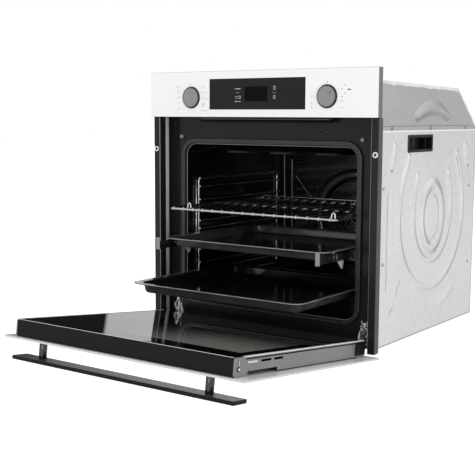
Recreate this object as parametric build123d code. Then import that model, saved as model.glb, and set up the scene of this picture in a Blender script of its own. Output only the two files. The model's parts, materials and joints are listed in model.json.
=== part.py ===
from build123d import *
import math
import os

# Built-in electric oven with its drop-down door open and its trays drawn out.
# Frame: +Z up, the front faces -Y, x = 0 is the middle of the oven, z = 0 is the underside of
# the base panel and y = 0 is the plane where the front flange meets the furniture.
# Lengths are in millimetres.

os.makedirs("parts", exist_ok=True)

# ---------------------------------------------------------------- driving dimensions

# front
FRONT_W = 595.0
FRONT_TOP = 584.5
GLASS_BOTTOM = -10.5
GLASS_T = 4.0
FRONT_Y = -20.0
FASCIA_BOTTOM = 483.5
DOOR_GAP = 6.5

# casing
BODY_W = 560.0
BODY_REAR = 527.0
BODY_SEAM = 466.6
TOP_FRONT = 560.0
TOP_REAR = 552.0
TOP_REAR_Y = 411.0
SLOPE_END = 517.0
SHEET = 1.2
FRAME_T = 1.5
FLANGE_W = 589.0
FLANGE_Y = -12.0
FLANGE_BOTTOM = -2.0
PLATE_Y = 26.0
WRAP_Y = PLATE_Y + FRAME_T

# cavity
CAV_W = 458.0
CAV_LOW = 53.0
CAV_HIGH = 423.0
CAV_R = 29.0
CAV_REAR = 468.0
COVER_Y = 438.0
GASKET_W = 482.0
GASKET_LOW = 44.0
GASKET_HIGH = 435.0
GASKET_Y = 19.2

# door
DOOR_ANGLE = 83.3
HINGE_Y = -4.4
HINGE_Z = 1.8
DOOR_TOP = FASCIA_BOTTOM - DOOR_GAP
DOOR_HALF = 271.0
DOOR_INNER_Y = 18.8
DOOR_LOW = 8.0
TRIM_LOW = 441.5
TRIM_TOP = 469.0
HINGE_X = 250.0
PIN_R = 3.0
RUNNING = 0.05

# handle
HANDLE_L = 552.0
HANDLE_W = 40.0
HANDLE_T = 7.7
HANDLE_Y = -54.7
HANDLE_Z = 452.0
POST_X = 209.0
POST_R = 8.0

# controls
KNOB_X = 178.0
KNOB_Z = 527.0
KNOB_R = 22.9
KNOB_HOLE_R = 23.4
KNOB_PROUD = 3.5
KNOB_STEM_R = 8.0
SHAFT_R = 3.0
DISPLAY_HALF = 126.0
DISPLAY_LOW = 500.0
DISPLAY_HIGH = 567.5

# grip recess, rings and screws
GRIP_Y0, GRIP_Y1 = 156.0, 269.0
GRIP_Z0, GRIP_Z1 = 413.0, 443.0
RING_Y, RING_Z = 281.0, 266.0
SCREW_X, SCREW_Z, SCREW_R = 288.0, 409.0, 2.6
BUMPER_X, BUMPER_Z = 240.0, 438.0
SIDE_SCREWS = ((43, 338), (46, 178), (487, 322), (494, 134), (79, 461.5), (267, 461.5), (462, 461.5))
REAR_SCREWS_X = (-265, -90, 90, 265)
REAR_SCREWS_Z = (14, 454)

# lamp and hinge lock
LAMP_X, LAMP_Y, LAMP_R = -110.0, 320.0, 27.0
LOCK_Y, LOCK_Z, LOCK_R = 22.6, 46.0, 1.6

# racks and trays
TRAY_TRAVEL = 135.0
RACK_ROD_R = 1.7
WIRE_R = 2.5
LEVEL_FIRST = 117.3
LEVEL_PITCH = 50.5
LEVEL_COUNT = 5
LEVEL_PAIR = 19.0
LEVEL_START = 67.0
LEVEL_END = 405.0
LEVEL_X = 220.3
UPRIGHT_X = 224.9
RACK_HALF = 221.6
RACK_FRONT = -49.5
RACK_DEPTH = 360.0
RACK_Z = 274.7
RACK_STOP = 9.0
RACK_RODS = 16
RAIL_WIRE_R = 3.0
TRAY_HALF = 216.6
TRAY_FRONT = -82.4
TRAY_DEPTH = 372.0
TRAY_Z = 211.4
TRAY_CORNER = 26.0
TRAY_RIM = 17.0
TRAY_TAPER = 9
TRAY_DROP = 21.0
DEEP_HALF = 220.8
DEEP_FRONT = -186.0
DEEP_DEPTH = 372.0
DEEP_Z = 121.3
DEEP_CORNER = 26.0
DEEP_DROP = 24.0
TRAY_SHEET = 1.0
RUNNER_L = 350.0
RUNNER_FRONT = -100.0
RUNNER_LOW = 187.0

# screws
SCREW_ROUND = 0.45

# fans
FAN_Z = 228.0
BLOWER_Y = 385.0

HINGE_AXIS = Axis((0, HINGE_Y, HINGE_Z), (1, 0, 0))
HALF = FRONT_W / 2
BODY_HALF = BODY_W / 2
FLANGE_HALF = FLANGE_W / 2
CAV_MID = (CAV_LOW + CAV_HIGH) / 2


# ---------------------------------------------------------------- helpers

def block(x0, x1, y0, y1, z0, z1):
    """Rectangular block between two corners."""
    centre = Pos((x0 + x1) / 2, (y0 + y1) / 2, (z0 + z1) / 2)
    return centre * Box(abs(x1 - x0), abs(y1 - y0), abs(z1 - z0))


def rod(start, end, radius):
    """Round bar between two points."""
    line = Vector(*end) - Vector(*start)
    return Plane(origin=start, z_dir=line) * extrude(Circle(radius), line.length)


def bent_wire(points, radius, bend):
    """Round wire along straight runs joined by bends of one radius."""
    path = FilletPolyline(*points, radius=bend)
    start = Plane(origin=path @ 0, z_dir=path % 0)
    return sweep(start * Circle(radius), path=path)


def front_plate(width, low, high, corner, y0, y1):
    """Upright plate with rounded corners, seen from the front."""
    outline = RectangleRounded(width, high - low, corner)
    upright = Plane(origin=(0, y1, (low + high) / 2), x_dir=(1, 0, 0), z_dir=(0, -1, 0))
    return extrude(upright * outline, y1 - y0)


def side_profile(points, x0, x1):
    """Outline in Y and Z, extruded from x0 to x1."""
    outline = make_face(Polyline(*points, close=True))
    upright = Plane(origin=(x0, 0, 0), x_dir=(0, 1, 0), z_dir=(1, 0, 0))
    return extrude(upright * outline, x1 - x0)


def mirrored(part):
    """The same piece on the other side of the oven."""
    return mirror(part, Plane.YZ)


def opened(part):
    """Turn a door piece from its closed place to the open rest place."""
    return part.rotate(HINGE_AXIS, DOOR_ANGLE)


def screw(x, y, z, direction, radius=3.6, height=1.6):
    """Pan-head screw seen from outside: a domed head with a straight slot."""
    face = Plane(origin=(x, y, z), z_dir=direction)
    head = extrude(face * Circle(radius), height)
    rim = head.faces().sort_by(Axis((x, y, z), direction))[-1].edges()
    head = fillet(rim, height * SCREW_ROUND)
    slot = face * Pos(0, 0, height) * Box(radius * 1.3, 0.8, height)
    return head - slot


def save(name, *solids):
    """Write one piece, or a group of like pieces, to its own file."""
    pieces = []
    for solid in solids:
        pieces.extend(solid.solids())
    whole = pieces[0] if len(pieces) == 1 else Compound(children=pieces)
    export_step(whole, f"parts/{name}.step")


# ---------------------------------------------------------------- casing

def make_front_frame():
    wall_in = BODY_HALF - FRAME_T
    plate = block(-BODY_HALF, BODY_HALF, PLATE_Y, WRAP_Y, 3.0, FASCIA_BOTTOM + 2.5)
    mouth = front_plate(CAV_W + 5, CAV_LOW - 2.5, CAV_HIGH + 2.5, CAV_R + 2, PLATE_Y - 1, WRAP_Y + 1)
    outlet = block(-160, 160, PLATE_Y - 1, WRAP_Y + 1, 472.5, 479.5)
    frame = plate - mouth - outlet
    frame += block(-wall_in, wall_in, 1.0, WRAP_Y, FASCIA_BOTTOM + 1.0, FASCIA_BOTTOM + 2.5)
    frame += block(-wall_in, wall_in, 14.0, WRAP_Y, 1.5, 3.0)
    for side in (-1, 1):
        near = side * wall_in
        wall = side * BODY_HALF
        edge = side * FLANGE_HALF
        frame += block(near, wall, FLANGE_Y, WRAP_Y, FLANGE_BOTTOM, FASCIA_BOTTOM)
        frame += block(near, edge, FLANGE_Y, FLANGE_Y + FRAME_T, FLANGE_BOTTOM, FASCIA_BOTTOM)
        frame += block(edge - side * FRAME_T, edge, FLANGE_Y, 0.0, FLANGE_BOTTOM, FASCIA_BOTTOM)
        slot_x = side * HINGE_X
        frame -= block(slot_x - 8, slot_x + 8, 12.0, WRAP_Y + 1, 0.0, 58.0)
        frame -= rod((side * SCREW_X, FLANGE_Y - 1, SCREW_Z), (side * SCREW_X, FLANGE_Y + 3, SCREW_Z), SCREW_R)
    return frame


def make_cavity_liner():
    wall = SHEET
    outer = front_plate(CAV_W + 2 * wall, CAV_LOW - wall, CAV_HIGH + wall, CAV_R + wall,
                        WRAP_Y + 0.2, CAV_REAR + wall)
    inner = front_plate(CAV_W, CAV_LOW, CAV_HIGH, CAV_R, WRAP_Y - 1, CAV_REAR)
    flange = front_plate(CAV_W + 30, CAV_LOW - 15, CAV_HIGH + 15, CAV_R + 15, WRAP_Y + 0.2, WRAP_Y + 1.4)
    liner = outer + flange - inner
    liner -= rod((0, CAV_REAR - 1, FAN_Z), (0, CAV_REAR + 3, FAN_Z), 8.0)
    liner -= rod((LAMP_X, LAMP_Y, CAV_HIGH - 1), (LAMP_X, LAMP_Y, CAV_HIGH + 3), LAMP_R - 3)
    return liner


def make_rear_cover():
    cover = front_plate(CAV_W - 2, CAV_LOW + 1, CAV_HIGH - 1, CAV_R - 1, COVER_Y, COVER_Y + SHEET)
    boss = rod((0, COVER_Y - 5, FAN_Z), (0, COVER_Y, FAN_Z), 96.0)
    boss = fillet(boss.edges().sort_by(Axis.Y)[0], 3.0)
    boss -= rod((0, COVER_Y - 5 + SHEET, FAN_Z), (0, COVER_Y + 1, FAN_Z), 96.0 - SHEET)
    cover -= rod((0, COVER_Y - 1, FAN_Z), (0, COVER_Y + 2, FAN_Z), 94.0)
    cover += boss
    for ring, count in ((16.0, 8), (30.0, 16), (44.0, 24)):
        for step in range(count):
            turn = 2 * math.pi * step / count
            x = ring * math.cos(turn)
            z = FAN_Z + ring * math.sin(turn)
            cover -= rod((x, COVER_Y - 6, z), (x, COVER_Y, z), 4.0)
    for side in (-1, 1):
        for level in (CAV_MID - 140, CAV_MID + 120):
            for row in range(4):
                z = level + row * 9
                cover -= block(side * 150, side * 205, COVER_Y - 1, COVER_Y + 2, z, z + 4)
    return cover


def make_gasket():
    outer = front_plate(GASKET_W, GASKET_LOW, GASKET_HIGH, 40.0, GASKET_Y, PLATE_Y - 0.05)
    inner = front_plate(CAV_W, CAV_LOW, CAV_HIGH, CAV_R, GASKET_Y - 1, PLATE_Y + 1)
    ring = outer - inner
    front_edges = ring.edges().filter_by_position(Axis.Y, GASKET_Y - 0.1, GASKET_Y + 0.1)
    return fillet(front_edges, 2.4)


def make_side_panel():
    """Right side panel with its pressed rings and the opening of the grip recess."""
    outside = BODY_HALF
    panel = block(outside - SHEET, outside, WRAP_Y + 0.3, BODY_REAR - 1.4, 1.4, BODY_SEAM - 0.3)
    centre = (RING_Y, RING_Z)
    for radius in (41.0, 66.0, 104.0, 132.0):
        start = Plane(origin=(outside - SHEET, centre[0], centre[1]), z_dir=(1, 0, 0))
        ridge = extrude(start * (Circle(radius + 3) - Circle(radius - 3)), SHEET + 1.2)
        if radius > 80:
            ridge -= block(outside - 5, outside + 5, RING_Y - 84, RING_Y + 84, RING_Z + 40, RING_Z + 200)
        panel += ridge
    panel -= block(outside - 5, outside + 5, GRIP_Y0, GRIP_Y1, GRIP_Z0, GRIP_Z1)
    return panel


def make_grip_recess():
    """Moulded tub in the right side panel, which fingers reach into."""
    outside = BODY_HALF
    tub = block(outside - 20, outside + 0.2, GRIP_Y0 + 0.2, GRIP_Y1 - 0.2, GRIP_Z0 + 0.2, GRIP_Z1 - 0.2)
    lip = block(outside + 0.2, outside + 1.8, GRIP_Y0 - 4, GRIP_Y1 + 4, GRIP_Z0 - 4, GRIP_Z1 + 4)
    lip = fillet(lip.edges().filter_by(Axis.X), 3.0)
    room = block(outside - 18, outside + 3, GRIP_Y0 + 2, GRIP_Y1 - 2, GRIP_Z0 + 2, GRIP_Z1 - 2)
    grip = tub + lip - room
    for share in (0.2, 0.8):
        y = GRIP_Y0 + share * (GRIP_Y1 - GRIP_Y0)
        grip += block(outside - 19, outside - 4, y - 1, y + 1, GRIP_Z0 + 1, GRIP_Z1 - 1)
    return grip


def make_base_panel():
    base = block(-BODY_HALF + 1.4, BODY_HALF - 1.4, WRAP_Y + 0.5, BODY_REAR - 1.4, 0.0, SHEET)
    base += block(-238, 238, -2.0, WRAP_Y + 0.5, 0.0, SHEET)
    for x in (-200, -100, 0, 100, 200):
        base += block(x - 8, x + 8, 60, BODY_REAR - 60, SHEET, SHEET + 3)
    for x in (-60, 60):
        for y in range(120, 461, 85):
            base -= block(x - 25, x + 25, y - 2.5, y + 2.5, -1, 10)
    return base


def make_rear_panel():
    panel = block(-BODY_HALF + 1.4, BODY_HALF - 1.4, BODY_REAR - SHEET, BODY_REAR, 0.0, BODY_SEAM - 0.3)
    dish = rod((0, BODY_REAR - SHEET, FAN_Z), (0, BODY_REAR + 6, FAN_Z), 92.0)
    dish = fillet(dish.edges().sort_by(Axis.Y)[-1], 3.0)
    dish -= rod((0, BODY_REAR - 2, FAN_Z), (0, BODY_REAR + 6 - SHEET, FAN_Z), 92.0 - SHEET)
    panel -= rod((0, BODY_REAR - 3, FAN_Z), (0, BODY_REAR + 3, FAN_Z), 90.0)
    panel += dish
    for column in range(12):
        x = -210 + column * 14
        panel -= block(x, x + 5, BODY_REAR - 3, BODY_REAR + 2, 380, 430)
        panel -= block(-x, -x - 5, BODY_REAR - 3, BODY_REAR + 2, 60, 110)
    for side in (-1, 1):
        panel += block(side * 120, side * 132, BODY_REAR - SHEET, BODY_REAR + 2, 40, 360)
    fold = BODY_SEAM - 0.3
    panel += block(-BODY_HALF + 1.4, BODY_HALF - 1.4, SLOPE_END - 4, BODY_REAR, fold - SHEET, fold)
    return panel


def make_top_cover():
    """Sheet-metal box over the cavity: open in front, flat on top and sloped at the rear."""
    low = BODY_SEAM
    start = WRAP_Y + 0.3
    step = FASCIA_BOTTOM + 2.8
    outline = [(start, low), (start, step), (2.0, step), (2.0, TOP_FRONT), (TOP_REAR_Y, TOP_REAR), (SLOPE_END, low)]
    inner = [(0.0, low - 5), (0.0, TOP_FRONT - SHEET), (TOP_REAR_Y - 0.6, TOP_REAR - SHEET),
             (SLOPE_END - 2, low + 0.8), (SLOPE_END - 2, low - 5)]
    half = BODY_HALF - 0.2
    shell = side_profile(outline, -half, half) - side_profile(inner, -half + SHEET, half - SHEET)
    for column in range(10):
        x = -180 + column * 12
        shell -= block(x, x + 5, 60, 110, TOP_FRONT - 6, TOP_FRONT + 5)
    return shell


def make_divider_plate():
    plate = block(-BODY_HALF + 3, BODY_HALF - 3, 40, 500, 448.0, 449.2)
    for x in (-BODY_HALF + 3, BODY_HALF - 3 - SHEET):
        plate += block(x, x + SHEET, 40, 500, 448.0, 460.0)
    return plate - rod((0, BLOWER_Y, 440), (0, BLOWER_Y, 455), 30.0)


def make_insulation():
    """Glass-fibre blanket round the cavity, with a rear slab."""
    outer = block(-258, 258, 36, 490, 14, 446.5)
    inner = block(-232, 232, 35, 471, 40, 425.5)
    wrap = outer - inner
    wrap -= rod((0, 460, FAN_Z), (0, 495, FAN_Z), 10.0)
    wrap -= rod((LAMP_X, LAMP_Y, 420), (LAMP_X, LAMP_Y, 450), LAMP_R + 2)
    for side in (-1, 1):
        wrap -= block(side * 238, side * 260, 30, 70, 0, 66)
    return wrap


# ---------------------------------------------------------------- heating, lamp and fans

def make_grill_element():
    z = CAV_HIGH - 19
    path = [(-150, CAV_REAR - 30.5, z), (-150, 70, z), (-90, 70, z), (-90, 360, z), (-30, 360, z), (-30, 70, z),
            (30, 70, z), (30, 360, z), (90, 360, z), (90, 70, z), (150, 70, z), (150, CAV_REAR - 30.5, z)]
    return bent_wire(path, 3.25, 22.0)


def make_bottom_element():
    z = CAV_LOW - SHEET - 4.5
    path = [(-170, 440, z), (-170, 70, z), (170, 70, z), (170, 400, z), (60, 400, z), (60, 150, z),
            (-60, 150, z), (-60, 440, z)]
    return bent_wire(path, 3.25, 25.0)


def make_ring_element():
    ring = Plane(origin=(84, COVER_Y + 15, FAN_Z), z_dir=(0, 0, 1)) * Circle(3.25)
    return revolve(ring, Axis((0, 0, FAN_Z), (0, 1, 0)), 340)


def make_fan_blade():
    y0 = COVER_Y + 8
    disc = rod((0, y0 + 12, FAN_Z), (0, y0 + 13.2, FAN_Z), 66.0)
    hub = rod((0, y0, FAN_Z), (0, y0 + 15, FAN_Z), 9.0)
    blade = block(24, 66, y0, y0 + 12.5, FAN_Z - 0.6, FAN_Z + 0.6)
    fan = disc + hub
    for step in range(12):
        fan += blade.rotate(Axis((0, 0, FAN_Z), (0, 1, 0)), step * 30)
    return fan + rod((0, y0 + 14, FAN_Z), (0, 510, FAN_Z), SHAFT_R)


def make_fan_motor():
    body = rod((0, 493, FAN_Z), (0, 521, FAN_Z), 34.0)
    body = fillet(body.edges().filter_by(GeomType.CIRCLE), 3.0)
    body += block(-60, 60, 491, 494.5, FAN_Z - 12, FAN_Z + 12)
    return body - rod((0, 485, FAN_Z), (0, 515, FAN_Z), SHAFT_R + RUNNING)


def make_blower_housing():
    low, high = 449.4, 490.0
    outer = rod((0, BLOWER_Y, low), (0, BLOWER_Y, high), 68.0)
    outer += block(-68, 68, 300.5, BLOWER_Y, low, high)
    room = rod((0, BLOWER_Y, low + 1.5), (0, BLOWER_Y, high - 1.5), 66.5)
    room += block(-66.5, 66.5, 295, BLOWER_Y, low + 1.5, high - 1.5)
    housing = outer - room
    return housing - rod((0, BLOWER_Y, high - 5), (0, BLOWER_Y, high + 5), 42.0)


def make_blower_wheel():
    low = 454.0
    wheel = rod((0, BLOWER_Y, low), (0, BLOWER_Y, low + 1.2), 60.0)
    wheel += rod((0, BLOWER_Y, low), (0, BLOWER_Y, low + 12), 10.0)
    vane = block(48, 60, BLOWER_Y - 0.6, BLOWER_Y + 0.6, low, low + 30)
    for step in range(24):
        wheel += vane.rotate(Axis((0, BLOWER_Y, 0), (0, 0, 1)), step * 15)
    return wheel + rod((0, BLOWER_Y, low + 10), (0, BLOWER_Y, 512), SHAFT_R)


def make_blower_motor():
    body = rod((0, BLOWER_Y, 493.5), (0, BLOWER_Y, 522), 30.0)
    body = fillet(body.edges().filter_by(GeomType.CIRCLE), 3.0)
    for turn in (0, 120, 240):
        leg = block(28, 50, BLOWER_Y - 5, BLOWER_Y + 5, 490.2, 494.5)
        body += leg.rotate(Axis((0, BLOWER_Y, 0), (0, 0, 1)), turn)
    return body - rod((0, BLOWER_Y, 488), (0, BLOWER_Y, 516), SHAFT_R + RUNNING)


def make_air_duct():
    outline = [(-66, 300), (66, 300), (160, 120), (160, 28.5), (-160, 28.5), (-160, 120)]
    outer = extrude(make_face(Polyline(*[(x, y, 449.6) for x, y in outline], close=True)), 36.0)
    inset = [(-65, 305), (65, 305), (158.6, 120), (158.6, 20), (-158.6, 20), (-158.6, 120)]
    inner = extrude(make_face(Polyline(*[(x, y, 451.0) for x, y in inset], close=True)), 33.0)
    return outer - inner


def make_outlet_deflector():
    upper = FASCIA_BOTTOM + 0.8
    outline = [(-182, upper), (182, upper), (168, upper - 9.5), (-168, upper - 9.5)]
    face = make_face(Polyline(*[(x, 6.0, z) for x, z in outline], close=True))
    solid = extrude(face, 19.0, dir=(0, 1, 0))
    for side in (-1, 1):
        solid -= block(side * 4, side * 150, 8.0, 30.0, upper - 7.5, upper - 1.5)
    return solid


def make_lamp_holder():
    cup = rod((LAMP_X, LAMP_Y, CAV_HIGH + SHEET + 0.1), (LAMP_X, LAMP_Y, 447.0), LAMP_R - 3.2)
    cup -= rod((LAMP_X, LAMP_Y, CAV_HIGH), (LAMP_X, LAMP_Y, 443.0), LAMP_R - 5)
    return cup


def make_lamp_bulb():
    glass = Pos(LAMP_X, LAMP_Y, 431.0) * Sphere(6.0)
    return glass + rod((LAMP_X, LAMP_Y, 431.0), (LAMP_X, LAMP_Y, 442.9), 4.0)


def make_lamp_lens():
    lens = rod((LAMP_X, LAMP_Y, CAV_HIGH - 8), (LAMP_X, LAMP_Y, CAV_HIGH - 0.1), LAMP_R)
    lens = fillet(lens.edges().sort_by(Axis.Z)[0], 6.0)
    return lens - rod((LAMP_X, LAMP_Y, CAV_HIGH - 5.5), (LAMP_X, LAMP_Y, CAV_HIGH + 1), LAMP_R - 5)


def make_temperature_probe():
    stem = rod((190, 380, CAV_HIGH - 40), (190, COVER_Y - 0.1, CAV_HIGH - 40), 3.0)
    return stem + block(178, 202, COVER_Y - 2.1, COVER_Y - 0.1, CAV_HIGH - 50, CAV_HIGH - 30)


def make_terminal_block():
    body = block(-215, -145, BODY_REAR + 0.1, BODY_REAR + 18, 440, 462)
    body = fillet(body.edges().filter_by(Axis.Y), 3.0)
    gland = rod((-180, BODY_REAR + 9, 430), (-180, BODY_REAR + 9, 441), 7.0)
    return body + gland - rod((-180, BODY_REAR + 9, 425), (-180, BODY_REAR + 9, 455), 4.2)


# ---------------------------------------------------------------- controls

def make_fascia_glass():
    glass = block(-HALF, HALF, FRONT_Y, FRONT_Y + GLASS_T, FASCIA_BOTTOM, FRONT_TOP)
    glass = fillet(glass.edges().filter_by(Axis.Y), 1.2)
    glass = chamfer(glass.faces().sort_by(Axis.Y)[0].edges(), 0.5)
    glass -= block(-DISPLAY_HALF, DISPLAY_HALF, FRONT_Y - 1, FRONT_Y + 5, DISPLAY_LOW, DISPLAY_HIGH)
    for side in (-1, 1):
        glass -= rod((side * KNOB_X, FRONT_Y - 1, KNOB_Z), (side * KNOB_X, FRONT_Y + 5, KNOB_Z), KNOB_HOLE_R)
    return glass


def make_fascia_carrier():
    y0 = FRONT_Y + GLASS_T
    edge = HALF - 0.4
    frame = block(-edge, edge, y0, 0.0, FASCIA_BOTTOM + 0.3, FRONT_TOP - 0.4)
    rear_edges = frame.edges().filter_by(Axis.Z).filter_by_position(Axis.Y, -0.1, 0.1)
    frame = fillet(rear_edges, 4.0)
    frame -= block(-edge + 3, edge - 3, y0 + 2.5, 1.0, FASCIA_BOTTOM + 3, FRONT_TOP - 3)
    frame -= block(-62, 62, y0 - 1, 1, 506, 561)
    for side in (-1, 1):
        frame -= rod((side * KNOB_X, y0 - 1, KNOB_Z), (side * KNOB_X, 1, KNOB_Z), KNOB_HOLE_R)
    return frame


def make_display_panel():
    edge = DISPLAY_HALF - 0.15
    return block(-edge, edge, FRONT_Y, FRONT_Y + GLASS_T - 0.1, DISPLAY_LOW + 0.15, DISPLAY_HIGH - 0.15)


def make_display_module():
    return block(-60, 60, FRONT_Y + GLASS_T + 0.1, -2, 508, 559)


def make_control_board():
    board = block(-122, 122, 4, 5.6, 490, 546)
    board += block(-30, 30, -1.8, 4.2, 512, 540)
    board += block(60, 100, 5.4, 26, 500, 535)
    board += rod((-80, 5.4, 530), (-80, 28, 530), 11.0)
    return board


def make_selector_switch():
    body = block(KNOB_X - 21, KNOB_X + 21, 24, 50, KNOB_Z - 21, KNOB_Z + 21)
    body = fillet(body.edges().filter_by(Axis.Y), 3.0)
    body += block(KNOB_X - 12, KNOB_X + 12, 49, 56, KNOB_Z + 4, KNOB_Z + 16)
    return body - rod((KNOB_X, 20, KNOB_Z), (KNOB_X, 46, KNOB_Z), SHAFT_R + RUNNING)


def make_switch_shaft():
    return rod((KNOB_X, -10, KNOB_Z), (KNOB_X, 45.5, KNOB_Z), SHAFT_R)


def make_knob_cap():
    front = FRONT_Y - KNOB_PROUD
    cap = rod((KNOB_X, front, KNOB_Z), (KNOB_X, 0.5, KNOB_Z), KNOB_R)
    cap = fillet(cap.edges().sort_by(Axis.Y)[0], 1.2)
    cap += rod((KNOB_X, 0, KNOB_Z), (KNOB_X, 18, KNOB_Z), KNOB_STEM_R)
    bore = rod((KNOB_X, front + 5, KNOB_Z), (KNOB_X, 19, KNOB_Z), SHAFT_R + RUNNING)
    return cap - bore


# ---------------------------------------------------------------- door, drawn closed

def make_outer_glass():
    glass = block(-HALF, HALF, FRONT_Y, FRONT_Y + GLASS_T, GLASS_BOTTOM, DOOR_TOP)
    glass = fillet(glass.edges().filter_by(Axis.Y), 1.5)
    return chamfer(glass.faces().sort_by(Axis.Y)[0].edges(), 0.5)


def make_middle_glass():
    return block(-236, 236, 0, GLASS_T, 30, 432)


def make_inner_glass():
    return block(-266.4, 266.4, DOOR_INNER_Y - GLASS_T, DOOR_INNER_Y, 10, TRIM_LOW - 0.4)


def make_door_profile():
    """Right side member of the door."""
    y0 = FRONT_Y + GLASS_T + 0.3
    web = block(DOOR_HALF - 1.5, DOOR_HALF, y0, DOOR_INNER_Y, DOOR_LOW, TRIM_LOW - 0.3)
    strip = block(DOOR_HALF - 4, DOOR_HALF, DOOR_INNER_Y - 2, DOOR_INNER_Y, DOOR_LOW, TRIM_LOW - 0.3)
    foot = block(DOOR_HALF - 14, DOOR_HALF, y0, y0 + 1.5, DOOR_LOW, TRIM_LOW - 0.3)
    profile = web + strip + foot
    profile -= block(DOOR_HALF - 20, DOOR_HALF + 1, y0 - 1, y0 + 8, 336, 430)
    for low, high in ((399, 431), (357, 389), (318, 348)):
        profile -= block(DOOR_HALF - 3, DOOR_HALF + 1, 6, 10, low, high)
    return profile


def make_door_trim():
    y0 = FRONT_Y + GLASS_T + 0.3
    edge = DOOR_HALF - 2.6
    bar = block(-edge, edge, y0, DOOR_INNER_Y, TRIM_LOW, TRIM_TOP)
    bar = fillet(bar.edges().filter_by(Axis.X).sort_by(Axis.Z)[-2:], 2.5)
    bar -= block(-edge - 1, edge + 1, y0 + 2, DOOR_INNER_Y - 2, TRIM_LOW - 1, TRIM_TOP - 2)
    return bar


def make_trim_cap():
    y0 = FRONT_Y + GLASS_T + 0.3
    cap = block(DOOR_HALF - 2.4, DOOR_HALF + 0.4, y0, DOOR_INNER_Y, TRIM_LOW, TRIM_TOP + 0.6)
    cap = fillet(cap.edges().filter_by(Axis.X).sort_by(Axis.Z)[-2:], 5.0)
    for y in (-4.0, 8.0):
        cap += rod((DOOR_HALF + 0.3, y, TRIM_TOP - 16), (DOOR_HALF + 1.6, y, TRIM_TOP - 16), 3.0)
    return cap


def make_bottom_rail():
    y0 = FRONT_Y + GLASS_T + 0.3
    rail = block(-240, 240, y0, DOOR_INNER_Y - GLASS_T - 0.3, DOOR_LOW, 26)
    return rail - block(-241, 241, y0 + 1.5, DOOR_INNER_Y - GLASS_T - 1.8, DOOR_LOW + 1.5, 27)


def make_corner_block():
    y0 = FRONT_Y + GLASS_T + 2.0
    return block(DOOR_HALF - 11, DOOR_HALF - 1.7, y0, DOOR_INNER_Y - GLASS_T - 0.3, DOOR_LOW, 34)


def make_glass_spacer(x, z):
    """Rubber block which holds the three panes apart, notched for the middle one."""
    spacer = block(x - 7, x + 7, FRONT_Y + GLASS_T + 0.2, DOOR_INNER_Y - GLASS_T - 0.2, z - 9, z + 9)
    return spacer - block(-236.2, 236.2, -0.2, GLASS_T + 0.2, 29.8, 432.2)


def make_door_spacers():
    """The corner blocks and the blocks between the panes."""
    blocks = [opened(make_corner_block()), opened(mirrored(make_corner_block()))]
    for side in (-1, 1):
        for z in (60, 240, 415):
            blocks.append(opened(make_glass_spacer(side * 236, z)))
    return blocks


def make_hinge_body():
    """Right hinge channel inside the door, with two cheeks down to the pin."""
    x0, x1 = HINGE_X - 7, HINGE_X + 7
    channel = block(x0, x1, -13, 13, 20.5, 150) - block(x0 + 2, x1 - 2, -11, 14, 19, 151)
    for x in (x0, x1 - 2):
        cheek = block(x, x + 2, HINGE_Y - 5, HINGE_Y + 5, HINGE_Z, 40)
        cheek += rod((x, HINGE_Y, HINGE_Z), (x + 2, HINGE_Y, HINGE_Z), 5.0)
        channel += cheek
    return channel - rod((x0 - 1, HINGE_Y, HINGE_Z), (x1 + 1, HINGE_Y, HINGE_Z), PIN_R)


def make_hinge_pin():
    return rod((HINGE_X - 7, HINGE_Y, HINGE_Z), (HINGE_X + 7, HINGE_Y, HINGE_Z), PIN_R)


def make_handle_bar():
    half = HANDLE_L / 2
    bar = block(-half, half, HANDLE_Y - HANDLE_T, HANDLE_Y, HANDLE_Z - HANDLE_W / 2, HANDLE_Z + HANDLE_W / 2)
    return fillet(bar.edges(), 1.2)


def make_handle_post():
    return rod((POST_X, HANDLE_Y, HANDLE_Z), (POST_X, FRONT_Y, HANDLE_Z), POST_R)


# ---------------------------------------------------------------- hinge parts on the casing

def make_hinge_arm():
    """Right arm: an eye on the pin, a neck up the face plate and a hook behind it."""
    outline = [(HINGE_Y, HINGE_Z - 4.8), (24.6, -1.4), (24.6, 34), (46, 34), (46, 26), (58, 26), (58, 54),
               (21.0, 54), (21.0, 6.6), (HINGE_Y, HINGE_Z + 4.8)]
    arm = side_profile(outline, HINGE_X - 1.6, HINGE_X + 1.6)
    arm += rod((HINGE_X - 1.6, HINGE_Y, HINGE_Z), (HINGE_X + 1.6, HINGE_Y, HINGE_Z), 4.8)
    arm -= rod((HINGE_X - 3, HINGE_Y, HINGE_Z), (HINGE_X + 3, HINGE_Y, HINGE_Z), PIN_R + RUNNING)
    return arm - rod((HINGE_X - 3, LOCK_Y, LOCK_Z), (HINGE_X + 3, LOCK_Y, LOCK_Z), LOCK_R + RUNNING)


def make_hinge_receiver():
    """Right bracket behind the face plate, which the hook of the arm sits in."""
    x0, x1 = HINGE_X - 7.5, HINGE_X + 7.5
    box = block(x0, x1, WRAP_Y + 0.2, 66, 6, 62)
    return box - block(x0 + 2, x1 - 2, WRAP_Y - 1, 64, 8, 60) + block(x0 + 1, x1 - 1, 47, 57, 20, 25.8)


def make_lock_lever():
    """Right lock lever: two ears on a pin through the arm, joined by a bridge."""
    lever = rod((HINGE_X - 5.5, LOCK_Y, LOCK_Z), (HINGE_X + 5.5, LOCK_Y, LOCK_Z), LOCK_R)
    for x in (HINGE_X - 5.5, HINGE_X + 4.0):
        lever += rod((x, LOCK_Y, LOCK_Z), (x + 1.5, LOCK_Y, LOCK_Z), 3.4)
        lever += block(x, x + 1.5, LOCK_Y - 3.2, LOCK_Y + 2.8, LOCK_Z - 24, LOCK_Z)
    lever += block(HINGE_X - 5.5, HINGE_X + 5.5, LOCK_Y - 3.2, LOCK_Y - 2.0, LOCK_Z - 24, LOCK_Z - 14)
    return lever


# ---------------------------------------------------------------- racks, rails and trays

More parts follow.
